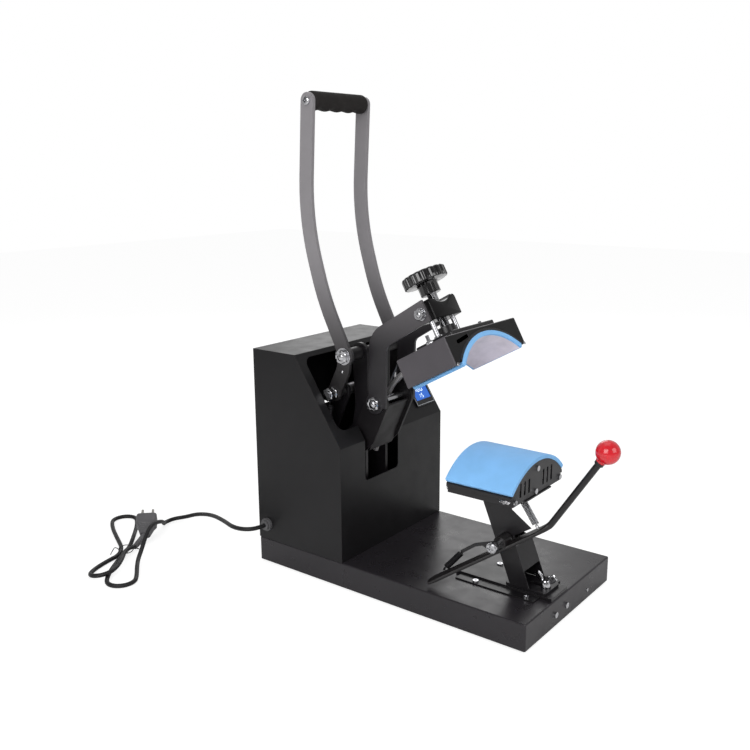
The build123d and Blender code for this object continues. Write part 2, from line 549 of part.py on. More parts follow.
END_SCREWS = ((-4, 40.3), (-8, 5.8), (-70, 6.3), (70, 5.8))
VENT_Z0 = LOWER_BOTTOM_Z + 9.3
VENT_Z1 = LOWER_BOTTOM_Z + 33.3
ends = []
for y0 in (plate_y0, plate_y1 - 2):
    end = front_plate(end_face, y0, y0 + 2)
    for i in range(3):
        end -= span(MECH_X + 14 + 13 * i, MECH_X + 19 + 13 * i, y0 - 1, y0 + 3, VENT_Z0, VENT_Z1)
        end -= span(MECH_X - 56 + 13 * i, MECH_X - 51 + 13 * i, y0 - 1, y0 + 3, VENT_Z0, VENT_Z1 - 3)
    ends.append(end)
save("lower_shell", shell, *ends)
wool = rod_y(MECH_X, plate_y0 + 5, plate_y1 - 5, ARC_CENTRE_Z, LOWER_CORE_R0 - GAP)
wool &= span(MECH_X - tray_half + 4, MECH_X + tray_half - 4, plate_y0, plate_y1, LOWER_BOTTOM_Z + 4, 300)
save("lower_insulation", wool)
heads = []
for x, up in END_SCREWS:
    for near in (plate_y0 - 2.6, plate_y1):
        heads.append(rod_y(MECH_X + x, near, near + 2.6, LOWER_BOTTOM_Z + up, 4.2))

# ---------------------------------------------------------------- post and rail
RAIL_HALF = 25.5
RAIL_Y0 = -258.0
RAIL_Y1 = -92.0
rail = span(MECH_X - RAIL_HALF, MECH_X + RAIL_HALF, RAIL_Y0, RAIL_Y1, BASE_TOP, BASE_TOP + 5)
flange = span(MECH_X - RAIL_HALF - 18, MECH_X + RAIL_HALF + 18, RAIL_Y0 + 20, RAIL_Y1 - 10, BASE_TOP, BASE_TOP + 2)
rail += flange
STUD_AT_Y = -235.0
rail -= rod_z(MECH_X, STUD_AT_Y, BASE_TOP - 1, BASE_TOP + 6, 4)
for x in (MECH_X - RAIL_HALF - 12, MECH_X + RAIL_HALF + 12):
    for y in (-222, -135):
        case_screws.append(pan_screw(x, y, BASE_TOP + 2, 4.5))
save("case_screws", *case_screws)
RAIL_TOP = BASE_TOP + 5
stud = rod_z(MECH_X, STUD_AT_Y, BASE_TOP, RAIL_TOP + 22, 4)
save("post_rail", rail, stud)
FOOT_PLATE = 4.0
foot = span(MECH_X - 23, MECH_X + 23, -247, -178, RAIL_TOP, RAIL_TOP + FOOT_PLATE)
foot = fillet(foot.edges().filter_by(Axis.Z), 5)
SLIDE = 20.0
hole = Pos(MECH_X, STUD_AT_Y + SLIDE / 2) * Rot(0, 0, 90) * SlotCenterToCenter(SLIDE + 2, 9)
foot -= extrude(Pos(0, 0, RAIL_TOP - 1) * hole, amount=FOOT_PLATE + 2)
wing = rod_z(MECH_X, STUD_AT_Y, RAIL_TOP + FOOT_PLATE + GAP, RAIL_TOP + FOOT_PLATE + 11, 8)
ear = web((STUD_AT_Y + 4, 61, 2.5), (STUD_AT_Y + 6, 66, 3), (STUD_AT_Y + 15, 72, 5))
wing += side_plate(ear, MECH_X - 1.6, MECH_X + 1.6)
ear = web((STUD_AT_Y - 4, 61, 2.5), (STUD_AT_Y - 6, 66, 3), (STUD_AT_Y - 15, 72, 5))
wing += side_plate(ear, MECH_X - 1.6, MECH_X + 1.6)
wing -= rod_z(MECH_X, STUD_AT_Y, RAIL_TOP, RAIL_TOP + 30, 4 + RUN_CLEARANCE)
save("wing_nut", wing)

POST_FOOT_Z = RAIL_TOP + FOOT_PLATE
POST_TOP_Z = LOWER_BOTTOM_Z - 2
POST_TOE_Y = -221.0
POST_HEEL_Y = -188.0
NOTCH = (-196.0, 117.0)
LEVER_CUT_Y = -192.0
post_side = outline(
    (POST_TOE_Y, POST_FOOT_Z), NOTCH, (LEVER_CUT_Y, 119.5), (LEVER_CUT_Y, 133.5), (-220.5, 152),
    (-187, 174), (-187, POST_TOP_Z),
    (-130, POST_TOP_Z), (-138, 177), (-159, 126), (POST_HEEL_Y, POST_FOOT_Z),
)
near_side = side_plate(post_side, MECH_X - RAIL_HALF, MECH_X - RAIL_HALF + SHEET)
low_side = outline((POST_TOE_Y, POST_FOOT_Z), NOTCH, (-159, 126), (POST_HEEL_Y, POST_FOOT_Z))
far_side = side_plate(low_side, MECH_X + RAIL_HALF - SHEET, MECH_X + RAIL_HALF)
back_web = outline(
    (POST_HEEL_Y, POST_FOOT_Z), (POST_HEEL_Y - SHEET, POST_FOOT_Z), (-162, 127),
    (-140, POST_TOP_Z), (-137, POST_TOP_Z), (-159, 126),
)
back_web = side_plate(back_web, MECH_X - RAIL_HALF, MECH_X + RAIL_HALF)
THROAT_Z = RAIL_TOP + 30
throat_y = POST_TOE_Y + (NOTCH[0] - POST_TOE_Y) * (THROAT_Z - POST_FOOT_Z) / (NOTCH[1] - POST_FOOT_Z)
front_web = outline((throat_y, THROAT_Z), NOTCH, (NOTCH[0] + SHEET, NOTCH[1]), (throat_y + SHEET, THROAT_Z))
front_web = side_plate(front_web, MECH_X - RAIL_HALF, MECH_X + RAIL_HALF)
top = span(MECH_X - 40, MECH_X + 40, -218, -126, POST_TOP_Z, LOWER_BOTTOM_Z)
PIN_AT = (-181.0, 127.0)
post = near_side + far_side + back_web + front_web + top
post -= rod_x(MECH_X - 40, MECH_X - 15, PIN_AT, 5.0)
save("post_body", post, foot)

# ---------------------------------------------------------------- lever with the round handle
POST_LEFT = MECH_X - RAIL_HALF
PIN_RADIUS = 5.0
LINK_SHEET = 3.0
link_x = POST_LEFT - 41.6
bolt = rod_x(link_x - 1, POST_LEFT + SHEET, PIN_AT, PIN_RADIUS)
bolt += rod_x(link_x - 5, link_x, PIN_AT, 8)
heads.append(bolt)
save("post_fasteners", *heads)
tail_end = Vector(-126, -84, 53)
elbow_end = Vector(-46, -243, 157)
ball_at = Vector(-40, -324, 285)
along = (elbow_end - tail_end).normalized()
plane = Plane(origin=tail_end, x_dir=(0.893, 0.449, 0), z_dir=along)
lever = extrude(plane * RectangleRounded(18, 6, 1.5), amount=(elbow_end - tail_end).length)
lever += rod_x(POST_LEFT - 24, POST_LEFT - 1, PIN_AT, 10)
lever -= rod_x(POST_LEFT - 40, POST_LEFT + 10, PIN_AT, PIN_RADIUS + RUN_CLEARANCE)
rod_dir = (ball_at - elbow_end).normalized()
start = elbow_end + along * 1
plane = Plane(origin=start, z_dir=rod_dir)
lever_rod = extrude(plane * Circle(5), amount=(ball_at - start).length - 8)
lever_rod -= lever
save("lever_arm", lever, lever_rod)
ball = Pos(*ball_at) * Sphere(17.5)
save("lever_ball", ball - lever_rod)
hook_at = (-128.0, 106.0, 2.6)
hook_bend = (-150.0, 122.5, 2.6)
hook_top = (-163.0, 127.5, 2.6)
link_face = web((*PIN_AT, 9), hook_top) + web(hook_top, hook_bend) + web(hook_bend, hook_at)
hook = side_plate(link_face, link_x, link_x + LINK_SHEET)
hook -= rod_x(link_x - 1, link_x + LINK_SHEET + 1, PIN_AT, PIN_RADIUS + RUN_CLEARANCE)
save("spring_anchor_link", hook)
tail_spring = coil((link_x + LINK_SHEET / 2, -126.2, 103.2), (-113.2, -107.2, 78.6), 4, 1)
front_spring = coil((-62.5, -208, 192.5), (-62.5, -230, 161.5), 4.5, 1)
save("lever_springs", tail_spring, front_spring)

# ---------------------------------------------------------------- return springs and heat sleeve
spring_x = MECH_X + 79.25
lean = Vector(0, CRANK_PIVOT[0] - SPRING_FOOT[0], CRANK_PIVOT[1] - SPRING_FOOT[1]).normalized()
low = Vector(spring_x, *SPRING_FOOT)
high = Vector(spring_x, *CRANK_PIVOT)
spring = coil(low + lean * 14, high - lean * 18, 6, 1.3)
for point, way, eye in ((low, 1, 6.8), (high, -1, 7.8)):
    spring += Pos(*point) * Rot(Y=90) * Torus(eye, 1.3)
    wire = Plane(origin=point + lean * (way * eye), z_dir=lean * way)
    spring += extrude(wire * Circle(1.3), amount=20 - eye)
    disc = Plane(origin=point + lean * (way * (13 if way > 0 else 17)), z_dir=lean * way)
    spring += extrude(disc * Circle(7.3), amount=2)
save("return_springs", *both(spring))
sleeve_path = FilletPolyline(
    (MECH_X + 12, 97, 203), (MECH_X + 12, 83, 245), (MECH_X + 12, 74, 305), (MECH_X + 16, 44, 345),
    (MECH_X + 38, 14, 358), (MECH_X + 62, -10, 369.4), (MECH_X + 62, -33.3, 382.35), radius=(22, 22, 22, 22, 16),
)
sleeve_profile = Plane(origin=sleeve_path @ 0, z_dir=sleeve_path % 0) * Circle(5)
sleeve = sweep(sleeve_profile, path=sleeve_path)
save("heat_sleeve", sleeve)

# ---------------------------------------------------------------- mains cord
gland = rod_x(-HALF_W - 5, -HALF_W, GLAND_AT, 11) + rod_x(-HALF_W - 9, -HALF_W - 5, GLAND_AT, 8.5)
gland += rod_x(-HALF_W, -HALF_W + 14, GLAND_AT, 8)
gland -= rod_x(-HALF_W - 12, -HALF_W + 20, GLAND_AT, CORD_RADIUS)
lock = hex_x(-HALF_W + SHEET, -HALF_W + SHEET + 5, GLAND_AT, 22)
save("cord_gland", gland, lock - rod_x(-HALF_W - 12, -HALF_W + 20, GLAND_AT, 8))
def from_gland(x, y, z):
    """Point given by its way from the gland's place on the cabinet's left wall, and its height."""
    return Vector(-HALF_W + x, GLAND_AT[0] + y, z)


ROUTE = (
    (-3, 0, 72),
    (-26, 0, 72),
    (-42, 17.5, 71.4),
    (-41.5, 46, 68.5),
    (-12.5, 95, 58.5),
    (20.5, 168, 41),
    (37.5, 230, 22.5),
    (34.5, 260, 9.5),
    (20.5, 277, 6),
    (-0.5, 277, 5),
    (-18.5, 256, 14),
    (-45.5, 228, 36),
    (-78.5, 219, 44),
    (-103.5, 208, 31),
    (-125.5, 201, 18),
    (-143.5, 192, 9),
)
points = [from_gland(*p) for p in ROUTE]
radii = []
for before, here, after in zip(points, points[1:], points[2:]):
    run_in = here - before
    run_out = after - here
    turn = radians(run_in.get_angle(run_out))
    radii.append(0.45 * min(run_in.length, run_out.length) / tan(turn / 2))
print("cord bend radii", [round(r, 1) for r in radii])
cord_path = FilletPolyline(*points, radius=radii)
section = Plane(origin=cord_path @ 0, z_dir=cord_path % 0) * Circle(CORD_RADIUS)
cord = sweep(section, path=cord_path)
print("cord length", round(cord_path.length, 1), "volume ratio", round(cord.volume / (pi * CORD_RADIUS ** 2 * cord_path.length), 4))
tie_at = from_gland(-127.5, 230, 8.6)
far_fold = from_gland(-41.5, 352, 0)
near_fold = from_gland(-199.5, 160, 0)
TIE_RADIUS = 17.0
HANK_Z0 = 0.4
HANK_HEIGHT = 16.0
hank_face = web((far_fold.X, far_fold.Y, 24), (tie_at.X, tie_at.Y, TIE_RADIUS))
hank_face += web((tie_at.X, tie_at.Y, TIE_RADIUS), (near_fold.X, near_fold.Y, 30))
hank = extrude(Pos(0, 0, HANK_Z0) * hank_face, amount=HANK_HEIGHT)
hank = fillet(hank.edges().group_by(Axis.Z)[-1], 4)
save("cord_tube", cord - hank)
save("cord_hank", hank)
across = 2 * TIE_RADIUS
tie_turn = degrees(atan2(near_fold.Y - tie_at.Y, near_fold.X - tie_at.X)) + 5
tie = Box(4, across + 4, HANK_HEIGHT + 1.2) - Box(6, across + 2, HANK_HEIGHT - 0.4)
tie = Pos(*tie_at) * Rot(0, 0, tie_turn) * tie
save("cord_tie", tie - hank)

plug_face = from_gland(-47.5, 269, 34)
plug_dir = Vector(0.641, 0.641, 0.423)
PIN_LINE = (0.7071, -0.7071, 0)
PLUG_BODY = 20.0
PLUG_LENGTH = 45.0
front_face = RectangleRounded(37, 26, 7)
rear_face = RectangleRounded(18, 16, 5)
plane = Plane(origin=plug_face, x_dir=PIN_LINE, z_dir=plug_dir)
plug = extrude(plane * front_face, amount=-PLUG_BODY)
plug += loft([plane.offset(-PLUG_BODY) * front_face, plane.offset(-PLUG_LENGTH) * rear_face])
save("plug_body", plug)
relief_start = plug_face - plug_dir * PLUG_LENGTH
prongs = []
for side in (-1, 1):
    base_point = plug_face + Vector(PIN_LINE) * (side * 9.5)
    prong = extrude(Plane(origin=base_point, z_dir=plug_dir) * Circle(2.4), amount=19)
    prongs.append(fillet(prong.edges().sort_by(Axis.Z)[-1:], 1.8))
save("plug_pins", *prongs)
relief_end = from_gland(-110.5, 227.5, 8)
relief_dir = (relief_end - relief_start).normalized()
relief_plane = Plane(origin=relief_start, z_dir=relief_dir)
relief_length = (relief_end - relief_start).length
relief = loft([relief_plane * Circle(7), relief_plane.offset(relief_length) * Circle(5)])
save("plug_strain_relief", relief - plug - hank)
print("relief length", round(relief_length, 1))
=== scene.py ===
import bmesh
import bpy
import numpy as np
from bpy.props import FloatProperty, FloatVectorProperty, IntProperty, PointerProperty
from bpy.types import Operator, Panel, PropertyGroup
from mathutils import Matrix


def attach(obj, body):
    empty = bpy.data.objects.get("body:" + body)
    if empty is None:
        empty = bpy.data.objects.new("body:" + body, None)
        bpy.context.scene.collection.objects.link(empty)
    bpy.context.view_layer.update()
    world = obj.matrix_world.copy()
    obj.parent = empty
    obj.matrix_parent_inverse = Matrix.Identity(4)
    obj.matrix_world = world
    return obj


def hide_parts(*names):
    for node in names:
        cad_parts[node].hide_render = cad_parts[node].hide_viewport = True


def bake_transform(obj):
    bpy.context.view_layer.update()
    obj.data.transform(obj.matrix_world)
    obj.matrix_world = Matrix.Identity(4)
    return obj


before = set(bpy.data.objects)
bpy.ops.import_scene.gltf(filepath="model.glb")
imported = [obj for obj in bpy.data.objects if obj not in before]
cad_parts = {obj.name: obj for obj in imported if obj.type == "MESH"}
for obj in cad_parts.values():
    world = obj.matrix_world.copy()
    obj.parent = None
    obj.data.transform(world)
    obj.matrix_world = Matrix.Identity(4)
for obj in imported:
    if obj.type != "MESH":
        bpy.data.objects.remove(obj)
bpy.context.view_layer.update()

bl_info = {
    "name": "Cap heat press",
    "version": (1, 0, 0),
    "blender": (4, 5, 0),
    "location": "View3D > Sidebar > Cap press",
    "description": "Dresses the cap heat press's CAD frame with its pads, springs, lead, fasteners and finishes",
    "category": "Object",
}

MM = 0.001
TURN = 2 * np.pi
X, Y, Z = np.eye(3)
SIDES = (-1, 1)

# Places in millimetres; a pair is (y, z)
MIDDLE_X = -34.0
SWING_PIVOT = (160.0, 170.0)
HANDLE_PIVOT = (96.0, 379.0)
CRANK_PIVOT = (118.0, 316.0)
ELBOW_PIVOT = (58.0, 301.0)
ARM_BOLT = (-32.0, 455.0)
GRIP_AT = (162.0, 771.0)
SPRING_FOOT = (140.0, 103.0)
LEVER_PIN = (-181.0, 127.0)
SLOPE_FOOT = (74.0, 238.0)
SLOPE_RUN = (93.0, 141.0)
SWING_OPEN = 29.0
PAD_CENTRE_Z = 143.8
SCREW_Y = -150.3
STUD_Y = -163.3
WING_NUT_Y = -235.0
WRAP_MIDDLE_Z = 222.0
KNOB_FOOT_Z = 352.6
WELD = 2e-7


def linear(text):
    """sRGB hex to linear RGB: each channel c goes to ((c + 0.055) / 1.055) ** 2.4, or c / 12.92 near black."""
    c = np.array([int(text[i:i + 2], 16) for i in (1, 3, 5)]) / 255
    out = np.where(c > 0.04045, ((c + 0.055) / 1.055) ** 2.4, c / 12.92)
    return tuple(float(v) for v in out)


def colour(name, words, text):
    """Colour property with a linear default."""
    return FloatVectorProperty(name=name, description=words, default=linear(text), min=0, max=1, subtype="COLOR")


def length(name, words, mm):
    """Length property whose default is given in millimetres."""
    return FloatProperty(name=name, description=words, default=mm * MM, min=0, unit="LENGTH")


# ---------------------------------------------------------------- properties
class PressSizes(PropertyGroup):
    cord_diameter: length("Lead diameter", "Outer diameter of the mains lead", 7.5)
    spring_wire: length("Spring wire", "Wire diameter of the two return springs", 2.6)
    pad_edge: IntProperty(name="Pad edge", description="Squareness of the silicone pads' edges", default=22, min=4)
    knob_flutes: IntProperty(name="Knob flutes", description="Flutes round the pressure knob", default=18, min=3)
    groove_depth: length("Finger grooves", "Depth of the finger grooves under the grip", 2.2)
    foil_crumple: length("Foil crumple", "Height of the creases in the foil wrap", 0.9)


class PressColours(PropertyGroup):
    paint: colour("Powder coat", "Black powder coat of the base and cabinet", "#252226")
    enamel: colour("Black enamel", "Satin black enamel of the plates and post", "#171518")
    # Default is the pale grey of the painted sheen on the handle bars' upper ends; the bars' enamel under it is near
    # black
    bar_painted_sheen: colour("Handle bars", "Dark grey satin finish of the handle bars", "#8b888b")
    silicone: colour("Silicone pad", "Blue silicone rubber of the pads", "#86c2f8")
    coating: colour("Release sheet", "Pinkish grey release sheet on the upper pad", "#e6dce5")
    ball: colour("Lever ball", "Red phenolic ball of the side lever", "#d81f2b")
    zinc: colour("Zinc plate", "Bright zinc plating of the fasteners", "#c9c9cc")
    display: colour("Display", "Lit blue window of the timer", "#2f66c4")


# ---------------------------------------------------------------- meshes
def grid(x, y, z):
    """Points from their three coordinates, each an array or one number for all."""
    return np.stack(np.broadcast_arrays(x, y, z), -1)


def opened(points):
    """Closed-press points turned back about the swing shaft: a turn of -29 degrees in the (y, z) plane."""
    y0, z0 = SWING_PIVOT
    a = -np.radians(SWING_OPEN)
    y, z = points[..., 1] - y0, points[..., 2] - z0
    return grid(points[..., 0], y0 + y * np.cos(a) - z * np.sin(a), z0 + y * np.sin(a) + z * np.cos(a))


def unit(v):
    """Vectors along the last axis divided by their length."""
    v = np.asarray(v, float)
    return v / np.linalg.norm(v, axis=-1, keepdims=True)


def arc(first, last, count, radius=1.0):
    """Points r (cos a, sin a) for evenly spaced angles in degrees."""
    a = np.radians(np.linspace(first, last, count))
    return radius * np.stack([np.cos(a), np.sin(a)], 1)


def soft_path(points, steps=12):
    """Quadratic B-spline: on each span P = (1-t)^2 A + 2t(1-t) B + t^2 C, where B is a given point and A and C
    are the middles of its two runs."""
    p = np.asarray(points, float)
    mid = (p[1:-2] + p[2:-1]) / 2
    a = np.concatenate([p[:1], mid])[:, None]
    b = p[1:-1][:, None]
    c = np.concatenate([mid, p[-1:]])[:, None]
    t = np.linspace(0, 1, steps, endpoint=False)[None, :, None]
    body = (1 - t) ** 2 * a + 2 * t * (1 - t) * b + t ** 2 * c
    return np.concatenate([body.reshape(-1, 3), p[-1:]])


def reach_along(path):
    """Distance from a path's start to each of its points."""
    return np.concatenate([[0], np.cumsum(np.linalg.norm(np.diff(path, axis=0), axis=1))])


def sweep(path, wide, thick=None, across=(0, 0, 1), sides=12, square=2.0, round_ends=0.0):
    """Rings of a superellipse carried along a path: point = P + a sgn(cos)|cos|^(2/n) S + b sgn(sin)|sin|^(2/n) L,
    where S is the across vector made square to the tangent and L = T x S. Both ends close to a point."""
    path = np.asarray(path, float)
    n = len(path)
    tangent = unit(np.gradient(path, axis=0))
    side = np.broadcast_to(np.asarray(across, float), path.shape)
    side = unit(side - (side * tangent).sum(-1, keepdims=True) * tangent)
    lift = np.cross(tangent, side)
    a = np.broadcast_to(np.asarray(wide, float), (n,)).copy()
    b = a.copy() if thick is None else np.broadcast_to(np.asarray(thick, float), (n,)).copy()
    power = 2 / np.broadcast_to(np.asarray(square, float), (n,))[:, None]
    turn = np.linspace(0, TURN, sides, endpoint=False)[None, :]
    x = np.sign(np.cos(turn)) * np.abs(np.cos(turn)) ** power
    y = np.sign(np.sin(turn)) * np.abs(np.sin(turn)) ** power
    if round_ends:
        reach = reach_along(path)
        shrink = np.clip(1 - np.minimum(reach, reach[-1] - reach) / round_ends, 0, 1)
        drawn_in = round_ends * (1 - np.sqrt(1 - shrink ** 2))
        a, b = a - drawn_in, b - drawn_in
    rings = path[:, None] + (a[:, None] * x)[..., None] * side[:, None] + (b[:, None] * y)[..., None] * lift[:, None]
    return capped(rings, path[[0, -1]])


def capped(rings, points):
    """Rings closed to a point at each end."""
    ends = np.repeat(np.asarray(points, float)[:, None], rings.shape[1], axis=1)
    return np.concatenate([ends[:1], rings, ends[1:]])


def turned(at, axis, profile, sides=32, shape=None):
    """Surface of revolution: ring k has radius r_k at height h_k along the axis from a point, times shape(angle)
    if given."""
    axis = unit(axis)
    other = X if abs(axis[0]) < 0.8 else Y
    e1 = unit(other - other @ axis * axis)
    e2 = np.cross(axis, e1)
    profile = np.asarray(profile, float)
    r, h = profile[:, 0][:, None], profile[:, 1][:, None]
    turn = np.linspace(0, TURN, sides, endpoint=False)[None, :]
    if shape is not None:
        r = shape(r, turn)
    flat = (r * np.cos(turn))[..., None] * e1 + (r * np.sin(turn))[..., None] * e2
    return np.asarray(at, float) + flat + h[..., None] * axis


def rod(at, axis, radius, height, sides=32):
    """Plain cylinder."""
    return turned(at, axis, [(0, 0), (radius, 0), (radius, height), (0, height)], sides)


def disc(at, axis, radius, height, in_by=0.4, up_by=0.3, sides=48):
    """Cylinder with a chamfer at both rims, such as a washer."""
    rim = [(radius - in_by, 0), (radius, up_by), (radius, height - up_by), (radius - in_by, height)]
    return turned(at, axis, [(0, 0), *rim, (0, height)], sides)


def helix(a, b, radius, turns, per_turn=12):
    """Line wound round the straight from a to b: P = a + t(b-a) + r(cos(2 pi N t) E1 + sin(2 pi N t) E2)."""
    a, b = np.asarray(a, float), np.asarray(b, float)
    axis = unit(b - a)
    e1 = unit(np.cross(axis, Z if abs(axis[2]) < 0.9 else Y))
    e2 = np.cross(axis, e1)
    t = np.linspace(0, 1, int(turns * per_turn) + 1)[:, None]
    turn = TURN * turns * t
    return a + t * (b - a) + radius * (np.cos(turn) * e1 + np.sin(turn) * e2)


def loop(ring, wire, across=Z, sides=8):
    """Closed ring of wire along evenly spaced points, as one shell whose ends meet."""
    return (sweep(np.concatenate([ring, ring[:2]]), wire, wire, across, sides)[1:-3],)


def placed(name, data, finish, body):
    """Object with its finish, which rides a body and fills a slot."""
    made = bpy.data.objects.new(name, data)
    bpy.context.scene.collection.objects.link(made)
    data.materials.append(finish)
    if body:
        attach(made, body)
    return made


def tidied(mesh, change, kind, **inputs):
    """Runs one bmesh operation on all of a mesh's elements of a kind."""
    work = bmesh.new()
    work.from_mesh(mesh)
    change(work, **{kind: getattr(work, kind)}, **inputs)
    work.to_mesh(mesh)
    work.free()


def piece(name, shells, finish, body, stands_for=(), crease=35.0, mark=None):
    """One mesh object from closed shells of rings in millimetres: ring i, point j joins ring i+1, point j+1. A shell
    in a tuple also joins its last ring to its first. Faces are turned outwards by the sign of the shell's volume.
    UV is the way along and round, in metres."""
    verts, faces, uvs, start = [], [], [], 0
    for rings in shells:
        looped = isinstance(rings, tuple)
        points = (rings[0] if looped else rings) * MM
        n, m, _ = points.shape
        i, j = np.meshgrid(np.arange(n if looped else n - 1), np.arange(m), indexing="ij")
        after, beside = (i + 1) % n * m, (j + 1) % m
        quads = np.stack([i * m + j, i * m + beside, after + beside, after + j], -1).reshape(-1, 4)
        p = points.reshape(-1, 3)
        q = p[quads] - p.mean(0)
        volume = sum((np.cross(q[:, 0], q[:, k]) * q[:, k + 1]).sum() for k in (1, 2))
        along = reach_along(points.mean(1))
        along = np.append(along, along[-1] + np.linalg.norm(points[-1].mean(0) - points[0].mean(0)))
        girth = np.linalg.norm(np.diff(points[n // 2], axis=0), axis=1).mean()
        corners = ((i, j), (i, j + 1), (i + 1, j + 1), (i + 1, j))
        uv = np.stack([np.stack([along[a], b * girth], -1) for a, b in corners], 2).reshape(-1, 4, 2)
        if volume < 0:
            quads, uv = quads[:, ::-1], uv[:, ::-1]
        verts.append(p)
        faces.append(quads + start)
        uvs.append(uv)
        start += len(p)
    mesh = bpy.data.meshes.new(name)
    mesh.from_pydata(np.concatenate(verts).tolist(), [], np.concatenate(faces).tolist())
    layer = mesh.uv_layers.new(name="along")
    layer.data.foreach_set("uv", np.concatenate(uvs).astype(np.float32).reshape(-1))
    if mark is not None:
        field = mesh.attributes.new("mark", "FLOAT", "POINT")
        field.data.foreach_set("value", mark.astype(np.float32).reshape(-1))
    tidied(mesh, bmesh.ops.remove_doubles, "verts", dist=WELD)
    mesh.shade_smooth()
    mesh.set_sharp_from_angle(angle=np.radians(crease))
    made = placed(name, mesh, finish, body)
    if stands_for:
        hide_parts(*stands_for)
    return made


# ---------------------------------------------------------------- nodes
def fill(node, inputs):
    """Sets a node's inputs to values, or links them to the outputs given."""
    for key, value in inputs.items():
        if isinstance(value, bpy.types.NodeSocket):
            node.id_data.links.new(value, node.inputs[key])
        else:
            node.inputs[key].default_value = value


def add(tree, kind, inputs=None, **settings):
    """Adds a node, sets its options, and sets or links its inputs."""
    made = tree.nodes.new(kind)
    for key, value in settings.items():
        setattr(made, key, value)
    fill(made, inputs or {})
    return made


def in_object(tree, output="Object"):
    """Object-space position, or the object-space normal."""
    return add(tree, "ShaderNodeTexCoord").outputs[output]


def mixed(tree, part, low, high):
    """Colour that goes from one to another as a part goes from 0 to 1."""
    return add(tree, "ShaderNodeMix", {0: part, 6: low, 7: high}, data_type="RGBA").outputs[2]


def ranged(tree, value, source=(0.0, 1.0), target=(0.0, 1.0), **settings):
    """Value carried from one range to another, and held inside it."""
    limits = dict(zip(("From Min", "From Max", "To Min", "To Max"), (*source, *target)))
    return add(tree, "ShaderNodeMapRange", {"Value": value, **limits}, **settings).outputs["Result"]


def maths(tree, operation, *values):
    """Result of one sum on numbers."""
    return add(tree, "ShaderNodeMath", dict(enumerate(values)), operation=operation).outputs[0]


def dotted(tree, one, other):
    """Dot product of two vectors."""
    return add(tree, "ShaderNodeVectorMath", {0: one, 1: other}, operation="DOT_PRODUCT").outputs["Value"]


def noise(tree, space, size_mm, detail=2.0, rough=0.5):
    """Noise whose features are about a real size apart."""
    inputs = {"Vector": space, "Scale": 1 / (size_mm * MM), "Detail": detail, "Roughness": rough}
    return add(tree, "ShaderNodeTexNoise", inputs).outputs["Fac"]


def blotches(tree, space, size_mm, low=0.0, high=1.0):
    """Noise of a real size, spread from a low to a high value."""
    return ranged(tree, noise(tree, space, size_mm, 3.0, 0.55), (0.3, 0.7), (low, high))


def bumped(tree, height, depth_mm, strength, over=None):
    """Normal of a relief of a real depth, over another normal if given."""
    inputs = {"Height": height, "Distance": depth_mm * MM, "Strength": strength}
    if over:
        inputs["Normal"] = over
    return add(tree, "ShaderNodeBump", inputs).outputs["Normal"]


def blank(name):
    """New material with only a Principled shader joined to its output."""
    found = bpy.data.materials.new(name)
    found.use_nodes = True
    tree = found.node_tree
    return found, tree, tree.nodes["Principled BSDF"]


def rgba(text_or_colour, gain=1.0):
    """Linear RGBA from a hex text or a property's colour, made lighter or darker by a factor."""
    c = linear(text_or_colour) if isinstance(text_or_colour, str) else tuple(text_or_colour)
    return tuple(min(1.0, v * gain) for v in c) + (1.0,)


# ---------------------------------------------------------------- finishes
def edge_wear(tree, space, reach_mm, base, worn, amount):
    """Colour that turns to the worn colour along edges, where a rounded normal leaves the flat one; and that
    rounded normal."""
    rounded = add(tree, "ShaderNodeBevel", {"Radius": reach_mm * MM}, samples=4).outputs["Normal"]
    flat = add(tree, "ShaderNodeNewGeometry").outputs["True Normal"]
    edge = ranged(tree, dotted(tree, rounded, flat), (0.99, 0.80), (0.0, amount))
    broken = maths(tree, "MULTIPLY", edge, blotches(tree, space, 3.846, 0.2))
    return mixed(tree, broken, base, worn), rounded


def grained(name, shade, tone, rough, relief, **others):
    """Material in one colour: blotches of a real size between two gains of it, blotches of a real size between two
    roughnesses, and a relief of noise given by its size, detail, depth and strength."""
    found, tree, shader = blank(name)
    space = in_object(tree)
    (size_mm, low, high), (grain_mm, detail, depth_mm, strength) = tone, relief
    fill(shader, {
        "Base Color": mixed(tree, blotches(tree, space, size_mm), rgba(shade, low), rgba(shade, high)),
        "Roughness": blotches(tree, space, *rough),
        "Normal": bumped(tree, noise(tree, space, grain_mm, detail), depth_mm, strength),
        **{key.replace("_", " "): value for key, value in others.items()},
    })
    return found


def coated_steel(name, shade, peel_mm, peel_height, rough, wear=0.25, glow=0.5):
    """Powder or stoved coat on sheet steel: an orange-peel bump a millimetre or so across, a soft sheen that
    changes a little over the sheet, faint dust and slightly paler edges where the film is thin."""
    found, tree, shader = blank(name)
    space = in_object(tree)
    tone = mixed(tree, blotches(tree, space, 111.1), rgba(shade, 0.88), rgba(shade, 1.16))
    specks = add(tree, "ShaderNodeTexVoronoi", {"Vector": space, "Scale": 1 / (3.2 * MM)}).outputs["Distance"]
    tone = mixed(tree, ranged(tree, specks, (0.05, 0.10), (0.22, 0.0)), tone, rgba(shade, 2.4))
    tone, rounded = edge_wear(tree, space, 0.9, tone, rgba(shade, 3.2), wear)
    fill(shader, {
        "Base Color": tone,
        "Normal": bumped(tree, noise(tree, space, peel_mm), peel_height, 0.6, rounded),
        "Roughness": blotches(tree, space, 28.57, rough - 0.05, rough + 0.07),
        "Specular IOR Level": glow,
    })
    return found


def plated_metal(name, shade, rough, grain_mm=0.6, tarnish=0.25):
    """Bright metal such as zinc plate: a clear reflection broken by fine machining marks, and slightly duller
    patches where it was handled."""
    return grained(name, shade, (16.67, 1 - tarnish, 1.06), (7.692, rough * 0.75, rough * 1.35),
                   (grain_mm, 2.0, 0.02, 0.5), Metallic=1.0)


